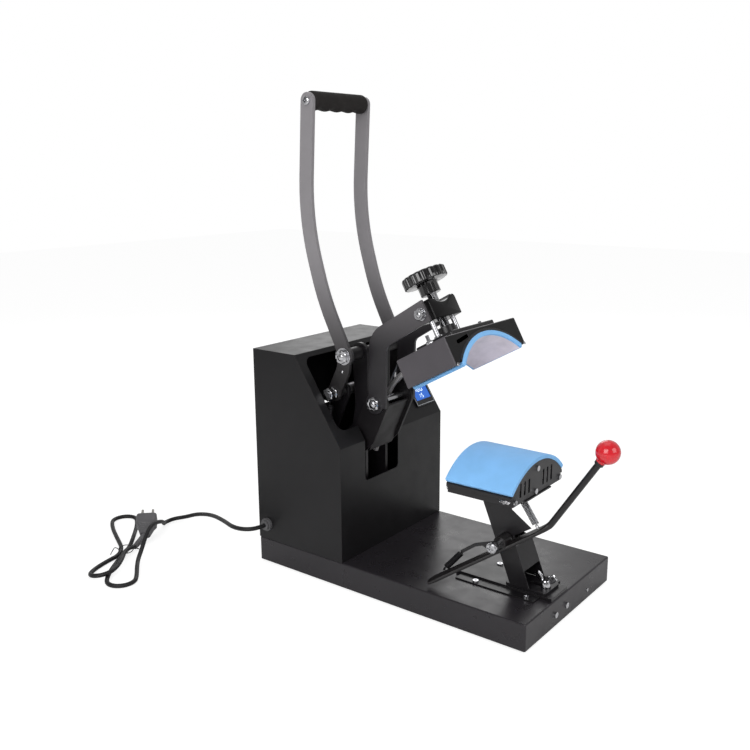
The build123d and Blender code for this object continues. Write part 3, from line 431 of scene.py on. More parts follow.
def rubbery(name, shade, rough, grain_mm, grain_height, glow=0.35, sheen=0.0, pale=1.18):
    """Rubber, silicone or foam: no clear reflection, a fine pored or moulded grain, a dusty bloom."""
    return grained(name, shade, (45.45, 0.93, pale), (11.11, rough - 0.06, rough + 0.06),
                   (grain_mm, 3.0, grain_height, 0.8), Specular_IOR_Level=glow, Sheen_Weight=sheen)


def moulded(name, shade, rough, coat=0.0, grain_mm=0.9, grain_height=0.02):
    """Moulded plastic: an even colour with slight flow marks, a crisp highlight and a faint mould texture."""
    return grained(name, shade, (22.22, 0.9, 1.1), (8.333, rough * 0.8, rough * 1.25),
                   (grain_mm, 2.0, grain_height, 0.5), Coat_Weight=coat, Coat_Roughness=0.12)


def painted_over(found, part, shade):
    """Turns a material's colour to another where a part is 1."""
    tree = found.node_tree
    base = tree.nodes["Principled BSDF"].inputs["Base Color"]
    tree.links.new(mixed(tree, part, base.links[0].from_socket, shade), base)
    return found


def coated(found, shade):
    """Adds a release sheet's colour to a pad where its mark attribute is 1: a matt pinkish grey skin on the
    working face."""
    tree = found.node_tree
    mark = add(tree, "ShaderNodeAttribute", attribute_name="mark").outputs["Fac"]
    skin = mixed(tree, blotches(tree, in_object(tree), 33.33), rgba(shade, 0.85), rgba(shade, 1.12))
    return painted_over(found, mark, skin)


def sheen_painted_by_height(found, shade, low_mm, high_mm):
    """Paints sheen with height: the enamel turns to a paler shade towards its upper end. This is a painted highlight
    on the bars and arms where light falls on them.
    """
    tree = found.node_tree
    tall = add(tree, "ShaderNodeSeparateXYZ", {"Vector": in_object(tree)}).outputs["Z"]
    part = ranged(tree, tall, (low_mm * MM, high_mm * MM), interpolation_type="SMOOTHSTEP")
    return painted_over(found, part, rgba(shade))


def shade_painted_by_facing(found, shade, facing):
    """Paints shade on the faces that look along one direction in object space: those faces turn to a darker shade,
    which is painted shade on the hood's front end.
    """
    tree = found.node_tree
    part = ranged(tree, dotted(tree, in_object(tree, "Normal"), facing), (0.7, 0.85))
    return painted_over(found, part, rgba(shade))


def braid(name, light, dark, rib_mm):
    """Braided glass-fibre sleeve: two crossed sets of diagonal bands along the UV, pale on top, dark in the gaps."""
    found, tree, shader = blank(name)
    place = add(tree, "ShaderNodeUVMap", uv_map="along").outputs["UV"]
    apart = add(tree, "ShaderNodeSeparateXYZ", {"Vector": place}).outputs
    rate = np.pi / (rib_mm * MM)
    bands = [maths(tree, "SINE", maths(tree, "MULTIPLY", maths(tree, way, apart["X"], apart["Y"]), rate))
             for way in ("ADD", "SUBTRACT")]
    level = ranged(tree, maths(tree, "MULTIPLY", *bands), (-1.0, 1.0))
    fill(shader, {
        "Base Color": mixed(tree, level, rgba(dark), rgba(light)),
        "Normal": bumped(tree, level, 0.35, 1.0),
        "Metallic": 0.55,
        "Roughness": 0.38,
    })
    return found


def lit(name, shade, strength):
    """Backlit liquid-crystal window or segment: its own glow under a clear glossy face, with a faint pixel grid."""
    found, tree, shader = blank(name)
    space = in_object(tree)
    inputs = {"Vector": space, "Scale": 1 / (0.5 * MM), "Color1": rgba(shade, 0.94), "Color2": rgba(shade, 1.05)}
    cells = add(tree, "ShaderNodeTexChecker", inputs).outputs["Color"]
    fill(shader, {"Base Color": cells, "Emission Color": cells, "Emission Strength": strength,
                  "Roughness": blotches(tree, space, 12.5, 0.08, 0.16)})
    return found


FINISH = {}


def finishes():
    """All the press's finishes by name, made once."""
    if FINISH:
        return FINISH
    c = bpy.context.scene.press_colours
    bar_painted_sheen = coated_steel("satin_grey_bar_enamel", "#1d1b1c", 0.8, 0.02, 0.42, wear=0.3)
    hood = coated_steel("satin_grey_black_enamel", "#4d4a4e", 0.9, 0.02, 0.4, glow=0.3)
    release = rubbery("release_coated_silicone", c.silicone, 0.55, 0.7, 0.03, 0.3, 0.05, 1.05)
    FINISH.update({
        "powder": coated_steel("black_powder_coat", c.paint, 1.3, 0.01, 0.3),
        "enamel": coated_steel("satin_black_enamel", c.enamel, 0.9, 0.03, 0.33),
        # Painted sheen: the bars turn from near black at the pivots to pale grey above, a painted highlight
        "bar_painted_sheen": sheen_painted_by_height(bar_painted_sheen, c.bar_painted_sheen, 330, 560),
        "cabinet": coated_steel("black_cabinet_coat", "#151416", 1.3, 0.012, 0.36, glow=0.35),
        # Painted shade: the hood's forward-facing faces turn near black against its grey sides
        "grey": shade_painted_by_facing(hood, "#080708", (0, -0.968, 0.25)),
        # Painted sheen: the knee arms turn paler grey towards their upper ends, a painted highlight
        "arm": sheen_painted_by_height(coated_steel("satin_arm_enamel", "#242225", 0.9, 0.03, 0.33), "#5c595c", 380, 470),
        "dark": coated_steel("dark_arm_enamel", "#191719", 0.9, 0.03, 0.4, glow=0.3),
        "gloss": coated_steel("gloss_black_enamel", "#070607", 1.6, 0.02, 0.12, wear=0.15, glow=0.3),
        "lever": coated_steel("black_lever_enamel", "#1f1d1e", 0.8, 0.03, 0.3, wear=0.3),
        "zinc": plated_metal("bright_zinc_plate", c.zinc, 0.15, tarnish=0.08),
        "dark_spring": plated_metal("blackened_steel", "#3a393b", 0.35, 0.4, 0.3),
        "satin": plated_metal("satin_steel", "#858386", 0.34, 0.5, 0.3),
        "nickel": plated_metal("nickel_plate", "#c4c2bc", 0.18),
        "foil": plated_metal("aluminium_foil", "#c9c8cb", 0.26, 1.8, 0.2),
        "wool": rubbery("ceramic_wool", "#d8d4cc", 0.9, 1.1, 0.25, 0.2),
        "silicone": rubbery("blue_silicone_rubber", c.silicone, 0.62, 0.7, 0.03, 0.3, 0.05, 1.05),
        "coated_silicone": coated(release, c.coating),
        "rubber": rubbery("black_rubber", "#1c1b1b", 0.75, 0.9, 0.05),
        "grip": rubbery("foamed_grip_rubber", "#201d1c", 0.8, 0.8, 0.12, 0.3),
        "print": moulded("white_panel_print", "#c9cdd2", 0.5),
        "plastic": moulded("black_nylon", "#5c5b5d", 0.4),
        "cable": moulded("black_pvc_sheath", "#131214", 0.5, 0.0, 1.4, 0.03),
        "bakelite": moulded("black_bakelite", "#0d0c0e", 0.07, 1.0, 3.0, 0.01),
        "ball": moulded("red_phenolic_ball", c.ball, 0.14, 0.6, 4.0, 0.003),
        "panel": moulded("black_panel_film", "#17181c", 0.3, 0.2, 0.7, 0.01),
        "keys": moulded("grey_key_rubber", "#8e9094", 0.5),
        "board": moulded("green_circuit_board", "#1c5b35", 0.35, 0.3),
        "braid": braid("glass_fibre_braid", "#d4d2d2", "#6b686c", 2.2),
        "display": lit("lit_blue_window", c.display, 0.55),
        "digits": lit("lit_digits", "#d5ebff", 0.9),
    })
    return FINISH


NODE_FINISH = {
    "powder": "base_tray base_bottom_plate",
    "cabinet": "cabinet_shell cabinet_back_cover",
    "grey": "upper_hood",
    "arm": "knee_arms",
    "enamel": "post_body lower_shell spring_anchor_link upper_top_plate frame_plates post_rail lower_core "
              "upper_heating_plate toggle_links",
    "dark": "handle_spindle swing_plates",
    "bar_painted_sheen": "handle_bars",
    "zinc": "arm_bolts crank_bolt handle_fasteners pressure_screw tail_pin pivot_nuts frame_rods platen_studs "
            "post_fasteners case_screws wing_nut",
    "satin": "handle_cross_tubes",
    "wool": "upper_insulation",
    "rubber": "base_mat",
    "plastic": "cord_gland power_switch_body power_switch_rocker solid_state_relay",
    "panel": "controller_bezel",
    "keys": "button_up button_down button_set",
    "board": "controller_board",
    "display": "controller_display",
    "bakelite": "pressure_knob",
    "ball": "lever_ball",
    "nickel": "plug_pins",
    "cable": "plug_strain_relief cord_tie",
}


# ---------------------------------------------------------------- shapes shared by the pieces
WASHER = 1.6


def nut(at, axis, flats, height, washer=0.0, dome=0.0):
    """Chamfered hexagon nut, on a washer and with a domed bolt end if asked. A ring's radius is the smaller of its
    own and the hexagon's a / cos(angle within its own sixth)."""
    def hexagon(r, turn):
        return np.minimum(r, flats / 2 / np.cos((turn + np.pi / 6) % (np.pi / 3) - np.pi / 6))

    at, axis = np.asarray(at, float), unit(axis)
    seat = at + axis * (WASHER if washer else 0)
    tip, low, h = flats * 0.577 + 0.1, flats * 0.49, height
    rings = [(0, 0), (low, 0), (tip, h * 0.12), (tip, h * 0.84), (low * 0.97, h), (low * 0.62, h),
             (low * 0.55, h * 0.93), (0, h * 0.93)]
    shells = [turned(seat, axis, rings, 48, hexagon)]
    if washer:
        shells.append(disc(at, axis, washer, WASHER))
    if dome:
        shells.append(turned(seat, axis, [(0, 0), (dome, 0), *(arc(0, 90, 7, dome) * (1, 0.45) + (0, h * 0.9))]))
    return shells


def cross_head(at, axis, radius, height):
    """Pan head with a crossed recess: a low dome whose middle drops along two crossed slots."""
    at, axis = np.asarray(at, float), unit(axis)
    dome = arc(0, 90, 14) * (1, 0.65) + (0, 0.35)
    rings = turned(at, axis, np.concatenate([[(0, 0), (1, 0), (1, 0.35)], dome]) * (radius, height), 48)
    flat = rings - at
    tall = flat @ axis
    side = flat - tall[..., None] * axis
    e1 = unit(side[2, 0])
    u, v = np.abs(side @ e1), np.abs(side @ np.cross(axis, e1))
    slot_half, slot_reach, slot_depth = radius * 0.14, radius * 0.62, height * 0.55
    inside = (np.minimum(u, v) < slot_half) & (np.maximum(u, v) < slot_reach) & (tall > height * 0.5)
    return rings - (inside * slot_depth)[..., None] * axis


def threaded(at, axis, radius, height, pitch=1.75):
    """Screw thread: radius = R - depth * |saw(height / pitch + angle / 2 pi)|, closed at both ends."""
    rings_per_turn = 6
    h = np.linspace(0, height, int(height / pitch * rings_per_turn))
    depth = 0.33 * pitch

    def cut(r, turn):
        return r - depth * np.abs((h[:, None] / pitch + turn / TURN) % 1 - 0.5) * 2

    body = turned(at, axis, np.stack([np.full(len(h), radius), h], 1), 28, cut)
    return capped(body, (at, at + height * unit(axis)))


def on_slope(points, out):
    """Points (x, s) carried to the cabinet's slope, s mm up it from its foot and out mm above it."""
    along = unit(SLOPE_RUN)
    x, s = points.T
    y, z = SLOPE_FOOT
    return grid(x, y + along[0] * s - along[1] * out, z + along[1] * s + along[0] * out)


def patch(name, outlines, heights, finish, body):
    """Thin raised marks on the cabinet's slope: each outline of points (x, s) at two heights, walled between them."""
    verts, faces, start = [], [], 0
    for outline in outlines:
        n = len(outline)
        verts += [on_slope(outline, out) * MM for out in heights]
        top = start + np.arange(n)
        low = top + n
        walls = np.stack([np.roll(top, -1), top, low, np.roll(low, -1)], 1)
        faces += [top.tolist(), low[::-1].tolist(), *walls.tolist()]
        start += 2 * n
    mesh = bpy.data.meshes.new(name)
    mesh.from_pydata(np.concatenate(verts).tolist(), [], faces)
    tidied(mesh, bmesh.ops.recalc_face_normals, "faces")
    return placed(name, mesh, finish, body)


# ---------------------------------------------------------------- mains lead
TIE = np.array((-270.0, 470.0))
LEAD = (
    (-145.5, 240, 72), (-168.5, 240, 72), (-184, 258, 71.2), (-181, 288, 67.5), (-153, 338, 56.5), (-122, 405, 42),
    (-105, 466, 23.5), (-107, 499, 9.8), (-121, 518.5, 6), (-144, 519, 5), (-161, 497, 14), (-188, 468, 36),
    (-221, 457, 44), (-247, 443, 31), (-266, 430, 18), (-290, 413, 8),
)
FOLDS = (
    (229, 138, 24.5, 1, (4.2, 4.2), 3),
    (54, 172, 23.5, -1, (4.2, 4.2), 0),
    (207, 109, 21, -1, (4.2, 4.2, 4.6, 9, 12.4, 12.4, 12.4), 0),
)
INTO_PLUG = ((-268, 463, 12.2), (-260, 466, 10), (-253, 467.5, 8.1), (-245, 470.5, 9.6))
PIN_LINE = np.array((0.7071, -0.7071, 0))
PLUG_LENGTH = 45
RELIEF_LENGTH = 37.1


def hank_fold(angle, reach, half, side, height, skip):
    """One fold of the hank: out from the tie on one side, round a half circle at the far end, and back on the other.
    Along = reach - half + half cos(t) and across = half sin(t) for t from -90 to 90 degrees on the half circle."""
    a = np.radians(angle)
    along = np.array([np.cos(a), np.sin(a)])
    left = np.array([-along[1], along[0]])
    far = reach - half
    turn = np.radians([-90, -54, -18, 18, 54, 90])
    s = np.concatenate([[18, 0.42 * far, 0.75 * far], far + half * np.cos(turn), [0.75 * far, 0.42 * far, 18]])
    w = half * np.concatenate([[0.28, 0.6, 0.93], -np.sin(turn), [-0.93, -0.6, -0.28]])
    z = np.interp(np.linspace(0, 1, len(s)), np.linspace(0, 1, len(height)), height)
    xy = TIE + s[:, None] * along + side * w[:, None] * left
    return np.concatenate([xy, z[:, None]], 1)[skip:]


class MainsLead(Operator):
    """Mains lead with its hank, twist tie, plug and strain relief"""
    bl_idname = "cap_press.mains_lead"
    bl_label = "Mains lead"

    def execute(self, context):
        look, sizes = finishes(), context.scene.press_sizes
        points = np.concatenate([LEAD, *[hank_fold(*fold) for fold in FOLDS], INTO_PLUG]) * MM
        curve = bpy.data.curves.new("mains_lead", "CURVE")
        curve.dimensions = "3D"
        spline = curve.splines.new("NURBS")
        spline.points.add(len(points) - 1)
        weighted = np.concatenate([points, np.ones((len(points), 1))], 1)
        spline.points.foreach_set("co", weighted.astype(np.float32).reshape(-1))
        spline.order_u = 3
        spline.use_endpoint_u = True
        curve.resolution_u = 10
        long = self.run(curve)
        curve.bevel_depth = sizes.cord_diameter / 2
        curve.bevel_resolution = 5
        curve.use_fill_caps = True
        lead = placed("mains_lead", curve, look["cable"], "base")
        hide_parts("cord_tube", "cord_hank")
        tie = self.tie(look)
        plug = self.plug(look)
        relief = self.relief(look)
        return {"FINISHED"}

    def run(self, curve):
        """Length of a curve's line, measured before it is given its thickness."""
        bare = bpy.data.objects.new("line", curve)
        bpy.context.scene.collection.objects.link(bare)
        line = bpy.data.meshes.new_from_object(bare)
        points = np.empty(len(line.vertices) * 3, np.float32)
        line.vertices.foreach_get("co", points)
        bpy.data.meshes.remove(line)
        bpy.data.objects.remove(bare)
        return float(reach_along(points.reshape(-1, 3).astype(float))[-1])

    def tie(self, look):
        """Plastic-covered wire twisted once round the strands, with two free ends: an ellipse in the plane across
        the hank."""
        across = np.array([0.764, -0.645, 0.0])
        centre = np.array([*TIE, 8.8])
        t = np.linspace(0, TURN, 48, endpoint=False)[:, None]
        ring = centre + 12.6 * np.cos(t) * across + 8.0 * np.sin(t) * Z
        knot = centre + across * 13.2
        one = soft_path([knot, knot + [6, -9, 1], knot + [1, -20, -2], knot + [-9, -29, -6.5]], 8)
        start = centre - across * 12
        two = soft_path([start, centre + [-12, 14, 6], centre + [-17, 17, -2], centre + [-22, 16, -7.2]], 8)
        twist = helix(knot + [-1, 1, 0], knot + [4, -7, 1], 0.9, 2.5, 14)
        shells = [loop(ring, 0.75, (0.645, 0.764, 0)), *[sweep(line, 0.75) for line in (one, two, twist)]]
        return piece("twist_tie", shells, look["cable"], "base", ("cord_tie",))

    def plug(self, look):
        """Moulded plug: a rounded rectangle carried from the pin face to the lead, narrowing after its waist, with
        grip ribs. Half sides at s are read from tables by straight lines."""
        toward = -unit((0.641, 0.641, 0.423))
        face = np.array([-190.0, 509.0, 34.0])
        stations = np.array([0, 0.01, 1.2, 3.0, 18, 19, 20.5, 22, 26, 30, 34, 38, 42, 45, 45.01])
        waist = [0, 1.2, 3, 20, 24, PLUG_LENGTH]
        s = np.linspace(0, PLUG_LENGTH, 70)
        rib = 0.55 * (np.sin((s - 22) / 2.6 * np.pi) > 0) * (s > 24) * (s < 42)
        wide, deep = (np.interp(s, stations, np.interp(stations, waist, half)) - rib
                      for half in ([17.3, 18.2, 18.5, 18.5, 15.5, 9], [11.8, 12.7, 13, 13, 11.5, 8]))
        corners = np.interp(s, [0, 20, PLUG_LENGTH], [7, 6, 3])
        body = sweep(face + s[:, None] * toward, wide, deep, PIN_LINE, 48, corners)
        raised = sweep(face - np.array([[-0.01], [0.7]]) * toward, 14.5, 9.2, PIN_LINE, 40, 6)
        rim = [(0, 0), (4, 0), (3.6, 1.6), (2.5, 1.8), (0, 1.8)]
        collars = [turned(face + side * 9.5 * PIN_LINE, -toward, rim, 24) for side in SIDES]
        return piece("plug_moulding", [body, raised, *collars], look["plastic"], "base",
                     ("plug_body",))

    def relief(self, look):
        """Strain relief: a cone of ribs, radius = 7 to 5 mm less a step in each groove."""
        near, far = np.array([-218.8, 480.2, 15.0]), np.array([-253.0, 467.5, 8.0])
        s = np.linspace(0, RELIEF_LENGTH, 75)
        groove = 1.1 * ((s % 4.6) > 3.1) * (s > 2) * (s < 36)
        r = np.interp(s, [0, RELIEF_LENGTH], [6.9, 4.7]) - groove
        profile = [(0, 0), *np.stack([r, s], 1), (0, RELIEF_LENGTH)]
        return piece("plug_relief", [turned(near, far - near, profile, 28)], look["plastic"], "base",
                     ("plug_strain_relief",))


# ---------------------------------------------------------------- platens
class SiliconePads(Operator):
    """Curved silicone pads of both platens, the upper one with its release sheet"""
    bl_idname = "cap_press.silicone_pads"
    bl_label = "Silicone pads"

    def execute(self, context):
        look, square = finishes(), context.scene.press_sizes.pad_edge
        for name, finish, radius, thick, y0, y1, reach, node, body in (
            ("lower_pad_rubber", "silicone", 108.75, 3.25, -216.8, -104.8, 82, "lower_pad", "post"),
            ("upper_pad_rubber", "coated_silicone", 117.75, 3.7, -210.8, -110.8, 87, "upper_pad", "platen"),
        ):
            middle, half = (y0 + y1) / 2, (y1 - y0) / 2
            end = np.arcsin(reach / (radius + thick))
            a = np.linspace(-end, end, 90)
            line = grid(MIDDLE_X + radius * np.sin(a), middle, PAD_CENTRE_Z + radius * np.cos(a))
            rings = sweep(line, half, thick, Y, 160, square, 0.9)
            x, y, z = np.moveaxis(rings, -1, 0)
            level = np.hypot(x - MIDDLE_X, z - PAD_CENTRE_Z) - radius
            mark = None
            if body == "platen":
                inner = (np.abs(y - middle) < half - 3.4) & (np.abs(x - MIDDLE_X) < reach - 2)
                mark = 1.0 * (inner & (level < -thick * 0.9))
                rings = opened(rings)
            else:
                ripple = 0.12 * np.sin(y / 9.0) * np.sin(x / 13.0)
                rings[..., 2] += ripple * (level > 0)
            made = piece(name, [rings], look[finish], body, (node,), 30, mark)
        return {"FINISHED"}


class FoilWrap(Operator):
    """Foil-wrapped wool under the lower platen's plate, with the corner that is pushed out"""
    bl_idname = "cap_press.foil_wrap"
    bl_label = "Foil wrap"

    def execute(self, context):
        look, height = finishes(), context.scene.press_sizes.foil_crumple / MM
        rng = np.random.default_rng(7)
        half, radius, underside, count = 69, 100.2, 204.2, 70
        x = np.linspace(-half, half, count)
        top = np.stack([x, PAD_CENTRE_Z + np.sqrt(radius ** 2 - x ** 2)], 1)
        section = np.concatenate([top, np.stack([x[::-1], np.full(count, underside)], 1)])
        rings = grid(MIDDLE_X + section[:, 0], np.linspace(-210.2, -111.4, 46)[:, None], section[:, 1])
        inward = unit((MIDDLE_X, 0, WRAP_MIDDLE_Z) - rings * (1, 0, 1))
        rings += inward * (rng.random(rings.shape[:2]) * height)[..., None]
        wrap = capped(rings, rings[[0, -1]].mean(1))
        u, v = np.meshgrid(np.linspace(0, np.pi, 15), np.linspace(0, TURN, 26, endpoint=False), indexing="ij")
        lump = np.stack([6.5 * np.sin(u) * np.cos(v), 9.5 * np.cos(u), 5.6 * np.sin(u) * np.sin(v)], -1)
        lump *= (0.78 + 0.3 * rng.random(u.shape))[..., None]
        lump[0], lump[-1] = lump[0, :1], lump[-1, :1]
        tongue = lump + (-108.3, -203.0, 207.3)
        hood_underside = 208.9
        tongue[..., 2] = np.minimum(tongue[..., 2], hood_underside)
        piece("foil_wrapped_wool", [wrap, tongue], look["foil"], "post", ("lower_insulation",), 12)
        return {"FINISHED"}


# ---------------------------------------------------------------- springs and sleeve
class WoundSprings(Operator):
    """Return springs beside the links and the two small springs of the lever, wound from wire"""
    bl_idname = "cap_press.wound_springs"
    bl_label = "Wound springs"

    def execute(self, context):
        wire = context.scene.press_sizes.spring_wire / MM / 2
        for side, name in zip(SIDES, ("left_return_spring", "right_return_spring")):
            self.return_spring(name, MIDDLE_X + side * 79.25, wire)
        for name, finish, a, b, radius, hook in (
            ("lever_tail_spring", "dark_spring", (-99.6, -126.2, 103.2), (-113.2, -107.2, 78.6), 4.0, 2.6),
            ("lever_front_spring", "zinc", (-62.5, -208, 192.5), (-62.5, -230, 161.5), 4.5, 3.0),
        ):
            self.lever_spring(name, finish, np.array(a, float), np.array(b, float), radius, hook)
        return {"FINISHED"}

    def return_spring(self, name, x, wire):
        """Close-wound coil between two eyes, each joined to it by a straight end and a cap."""
        foot, crank = np.array((x, *SPRING_FOOT)), np.array((x, *CRANK_PIVOT))
        lean = unit(crank - foot)
        coil, plug, half, from_foot, from_crank = 6, 6.789, 0.6, 14, 18
        low, high = foot + lean * from_foot, crank - lean * from_crank
        pitch = 2 * wire * 1.04
        shells = [sweep(helix(low, high, coil, int(np.linalg.norm(high - low) / pitch)), wire, sides=7)]
        t = np.linspace(0, TURN, 30, endpoint=False)[:, None]
        for at, way, eye, edge in ((foot, lean, 6.8, low), (crank, -lean, 7.8, high)):
            ring = at + eye * (np.cos(t) * way + np.sin(t) * np.cross(X, lean))
            shells.append(loop(ring, wire))
            neck = at + way * eye
            shells.append(sweep(np.stack([neck, (neck + edge) / 2, edge + way]), wire, sides=8))
            shells.append(turned(edge - way * 0.5, lean, [(0, -half), (plug, -half), (plug, half), (0, half)], 24))
        made = piece(name, shells, finishes()["dark_spring"], None, ("return_springs",), 40)
        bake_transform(made)

    def lever_spring(self, name, finish, a, b, radius, hook):
        """Close-wound coil with an open hook at each end."""
        way = unit(b - a)
        side = unit(np.cross(way, Z))
        t = np.linspace(0, TURN * 0.85, 16)[:, None]
        pitch = 2.25
        shells = [sweep(helix(a + way, b - way, radius, np.linalg.norm(b - a) / pitch), 1.0, sides=7)]
        for at, out in ((a, -way), (b, way)):
            shells.append(sweep(at + out * hook + hook * (np.sin(t) * side - np.cos(t) * out), 0.95, sides=7))
        made = piece(name, shells, finishes()[finish], None, ("lever_springs",), 40)
        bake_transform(made)


class HeatSleeve(Operator):
    """Braided sleeve that carries the heater's wires from the cabinet to the upper platen"""
    bl_idname = "cap_press.heat_sleeve"
    bl_label = "Heat sleeve"

    def execute(self, context):
        route = np.array([(12, 97, 203), (12, 83, 245), (12, 74, 305), (16, 44, 345), (38, 14, 358),
                          (62, -10, 369.4), (62, -33.3, 382.35)])
        path = soft_path(route + MIDDLE_X * X, 24)
        s = np.linspace(0, 1, len(path))
        bulge = 0.2 * np.sin(s * 37) * np.sin(s * 11)
        radius = 4.75 + bulge
        tube = sweep(path, radius, sides=24, across=(0.3, 1, 0.2))
        piece("braided_heat_sleeve", [tube], finishes()["braid"], "arm", ("heat_sleeve",))
        return {"FINISHED"}


# ---------------------------------------------------------------- handle, knob and lever
class HandGrip(Operator):
    """Rubber grip of the handle with finger grooves along its underside"""
    bl_idname = "cap_press.hand_grip"
    bl_label = "Hand grip"

    def execute(self, context):
        deep = context.scene.press_sizes.groove_depth / MM
        half, grooved, pitch, end_radius, swell, underside = 65, 58, 29, 9.8, 5.2, np.radians(250)
        x = np.concatenate([[-half], np.linspace(-half, half, 131), [half]])
        a = np.linspace(0, TURN, 72, endpoint=False)
        edge = np.clip((half - np.abs(x)) / 6, 0, 1)
        r = end_radius + swell * np.sqrt(1 - (1 - edge) ** 2)
        r[[0, -1]] = 0
        below = np.clip(np.cos(a - underside), 0, 1) ** 1.5
        wave = 0.5 - 0.5 * np.cos(TURN * (x + grooved) / pitch)
        wave *= np.clip((grooved - np.abs(x)) / 2, 0, 1)
        radius = r[:, None] - deep * wave[:, None] * below * (r[:, None] > 0)
        y, z = GRIP_AT
        rings = grid(MIDDLE_X + x[:, None], y + radius * np.cos(a), z + radius * np.sin(a))
        piece("finger_grip", [rings], finishes()["grip"], "handle", ("handle_grip",), 50)
        return {"FINISHED"}


class PressureKnob(Operator):
    """Pressure knob, with flutes r = R - d (1 - (arc / w)^2) sunk into its rim above a faceted hub, and the saddle
    block that it turns over"""
    bl_idname = "cap_press.pressure_knob"
    bl_label = "Pressure knob"

    def execute(self, context):
        look, flutes = finishes(), context.scene.press_sizes.knob_flutes
        rim, flute_depth, flute_half, facets = 35.5, 1.7, 3.8, 14
        profile = np.array([
            (0, 0), (15.7, 0), (16.3, 0.6), (16.3, 15.5), (17.4, 17.8), (20, 18.6), (33.9, 18.7),
            *(arc(-90, 0, 7, 1.6) + (33.9, 20.3)), (rim, 26), (rim, 32.4),
            *(arc(0, 90, 7) * (3.3, 3.4) + (32.2, 32.6)), (25, 36), (22, 35.4), (14, 34.6), (12.5, 34.8),
            (11.6, 36), (6, 36), (0, 36),
        ])
        hub = (profile[:, 1] < 16) & (profile[:, 0] > 0)

        def fluted(r, turn):
            along = ((turn / TURN * flutes) % 1 - 0.5) * TURN * rim / flutes
            sunk = flute_depth * np.clip(1 - (along / flute_half) ** 2, 0, 1) * np.clip((r - 26) / 7, 0, 1)
            facet = np.cos(np.pi / facets) / np.cos(turn % (TURN / facets) - np.pi / facets)
            return np.where(hub[:, None], r * facet, r - sunk)

        wheel = turned((MIDDLE_X, SCREW_Y, KNOB_FOOT_Z), Z, profile, 432, fluted)
        piece("fluted_knob", [opened(wheel)], look["bakelite"], "screw", ("pressure_knob",), 28)
        piece("saddle_block", [opened(self.block())], look["gloss"], "arm", ("cross_block",), 30)
        return {"FINISHED"}

    def block(self):
        """Saddle block: a profile with two round-topped ears beside a hollow of 39 mm radius, drawn in by
        e (1 - cos a) over its last e mm at each end."""
        half, e = 15, 1.5
        right = np.array([(34.8, 310.6), (36, 311.8), *(arc(0, 90, 5, 5.5) + (30.5, 338.1)), (27, 342.2)])
        hollow = arc(-50.2, -129.8, 17, 39) + (0, 373.6)
        outline = np.concatenate([right, hollow, right[::-1] * (-1, 1)])
        step = unit(np.roll(outline, -1, 0) - np.roll(outline, 1, 0))
        out = np.stack([step[:, 1], -step[:, 0]], 1)
        inset, short = e * (1 - arc(90, 0, 5).T)
        y = np.concatenate([short - half, half - short[::-1]])
        shape = outline - np.concatenate([inset, inset[::-1]])[:, None, None] * out
        rings = grid(MIDDLE_X + shape[..., 0], SCREW_Y + y[:, None], shape[..., 1])
        return capped(rings, [(MIDDLE_X, SCREW_Y + end * half, 325.0) for end in SIDES])


class SideLever(Operator):
    """Side lever: round rod forged flat below its elbow, with its red ball and collar"""
    bl_idname = "cap_press.side_lever"
    bl_label = "Side lever"

    def execute(self, context):
        look = finishes()
        ball, elbow, tail = np.array(((-40.0, -324, 285), (-46.0, -243, 157), (-126.0, -84, 53)))
        down, along = unit(ball - elbow), unit(tail - elbow)
        path = soft_path([ball - down * 9, ball - down * 60, elbow + down * 13, elbow + down * 3, elbow + along * 5,
                          elbow + along * 20, elbow + along * 90, tail], 18)
        to_bend = 142.6
        flat = np.clip((reach_along(path) - to_bend + 4) / 26, 0, 1)
        flat = flat * flat * (3 - 2 * flat)
        blade = sweep(path, 5 + 4 * flat, 5 - 2 * flat, (0.893, 0.449, 0), 32, 2 + 3 * flat, 1.4)
        boss = disc((-83.5, *LEVER_PIN), X, 10, 23, 0.8, 0.8, 40)
        collar = turned(ball - down * 24, down, [(0, 0), (6.2, 0), (7, 0.8), (7, 5), (6.4, 6), (0, 6)])
        piece("forged_lever", [blade, boss, collar], look["lever"], "lever", ("lever_arm",), 30)
        profile = [(0, -18.6), (7.2, -18.6), (7.8, -18.0), (7.9, -16.6), *arc(-62, 90, 34, 17.5)]
        piece("phenolic_ball", [turned(ball, down, profile, 56)], look["ball"], "lever",
              ("lever_ball",), 40)
        return {"FINISHED"}


# ---------------------------------------------------------------- fasteners
def beside(out, pivot):
    """Point out mm to one side of the mechanism's middle, at a pivot's y and z."""
    return np.array((MIDDLE_X + out, *pivot))


def pair(shape, out, pivot, *sizes, **more):
    """Shells of one kind of fastener on both sides of the mechanism, facing outwards."""
    made = [shape(beside(s * out, pivot), s * X, *sizes, **more) for s in SIDES]
    return made[0] + made[1] if isinstance(made[0], list) else made


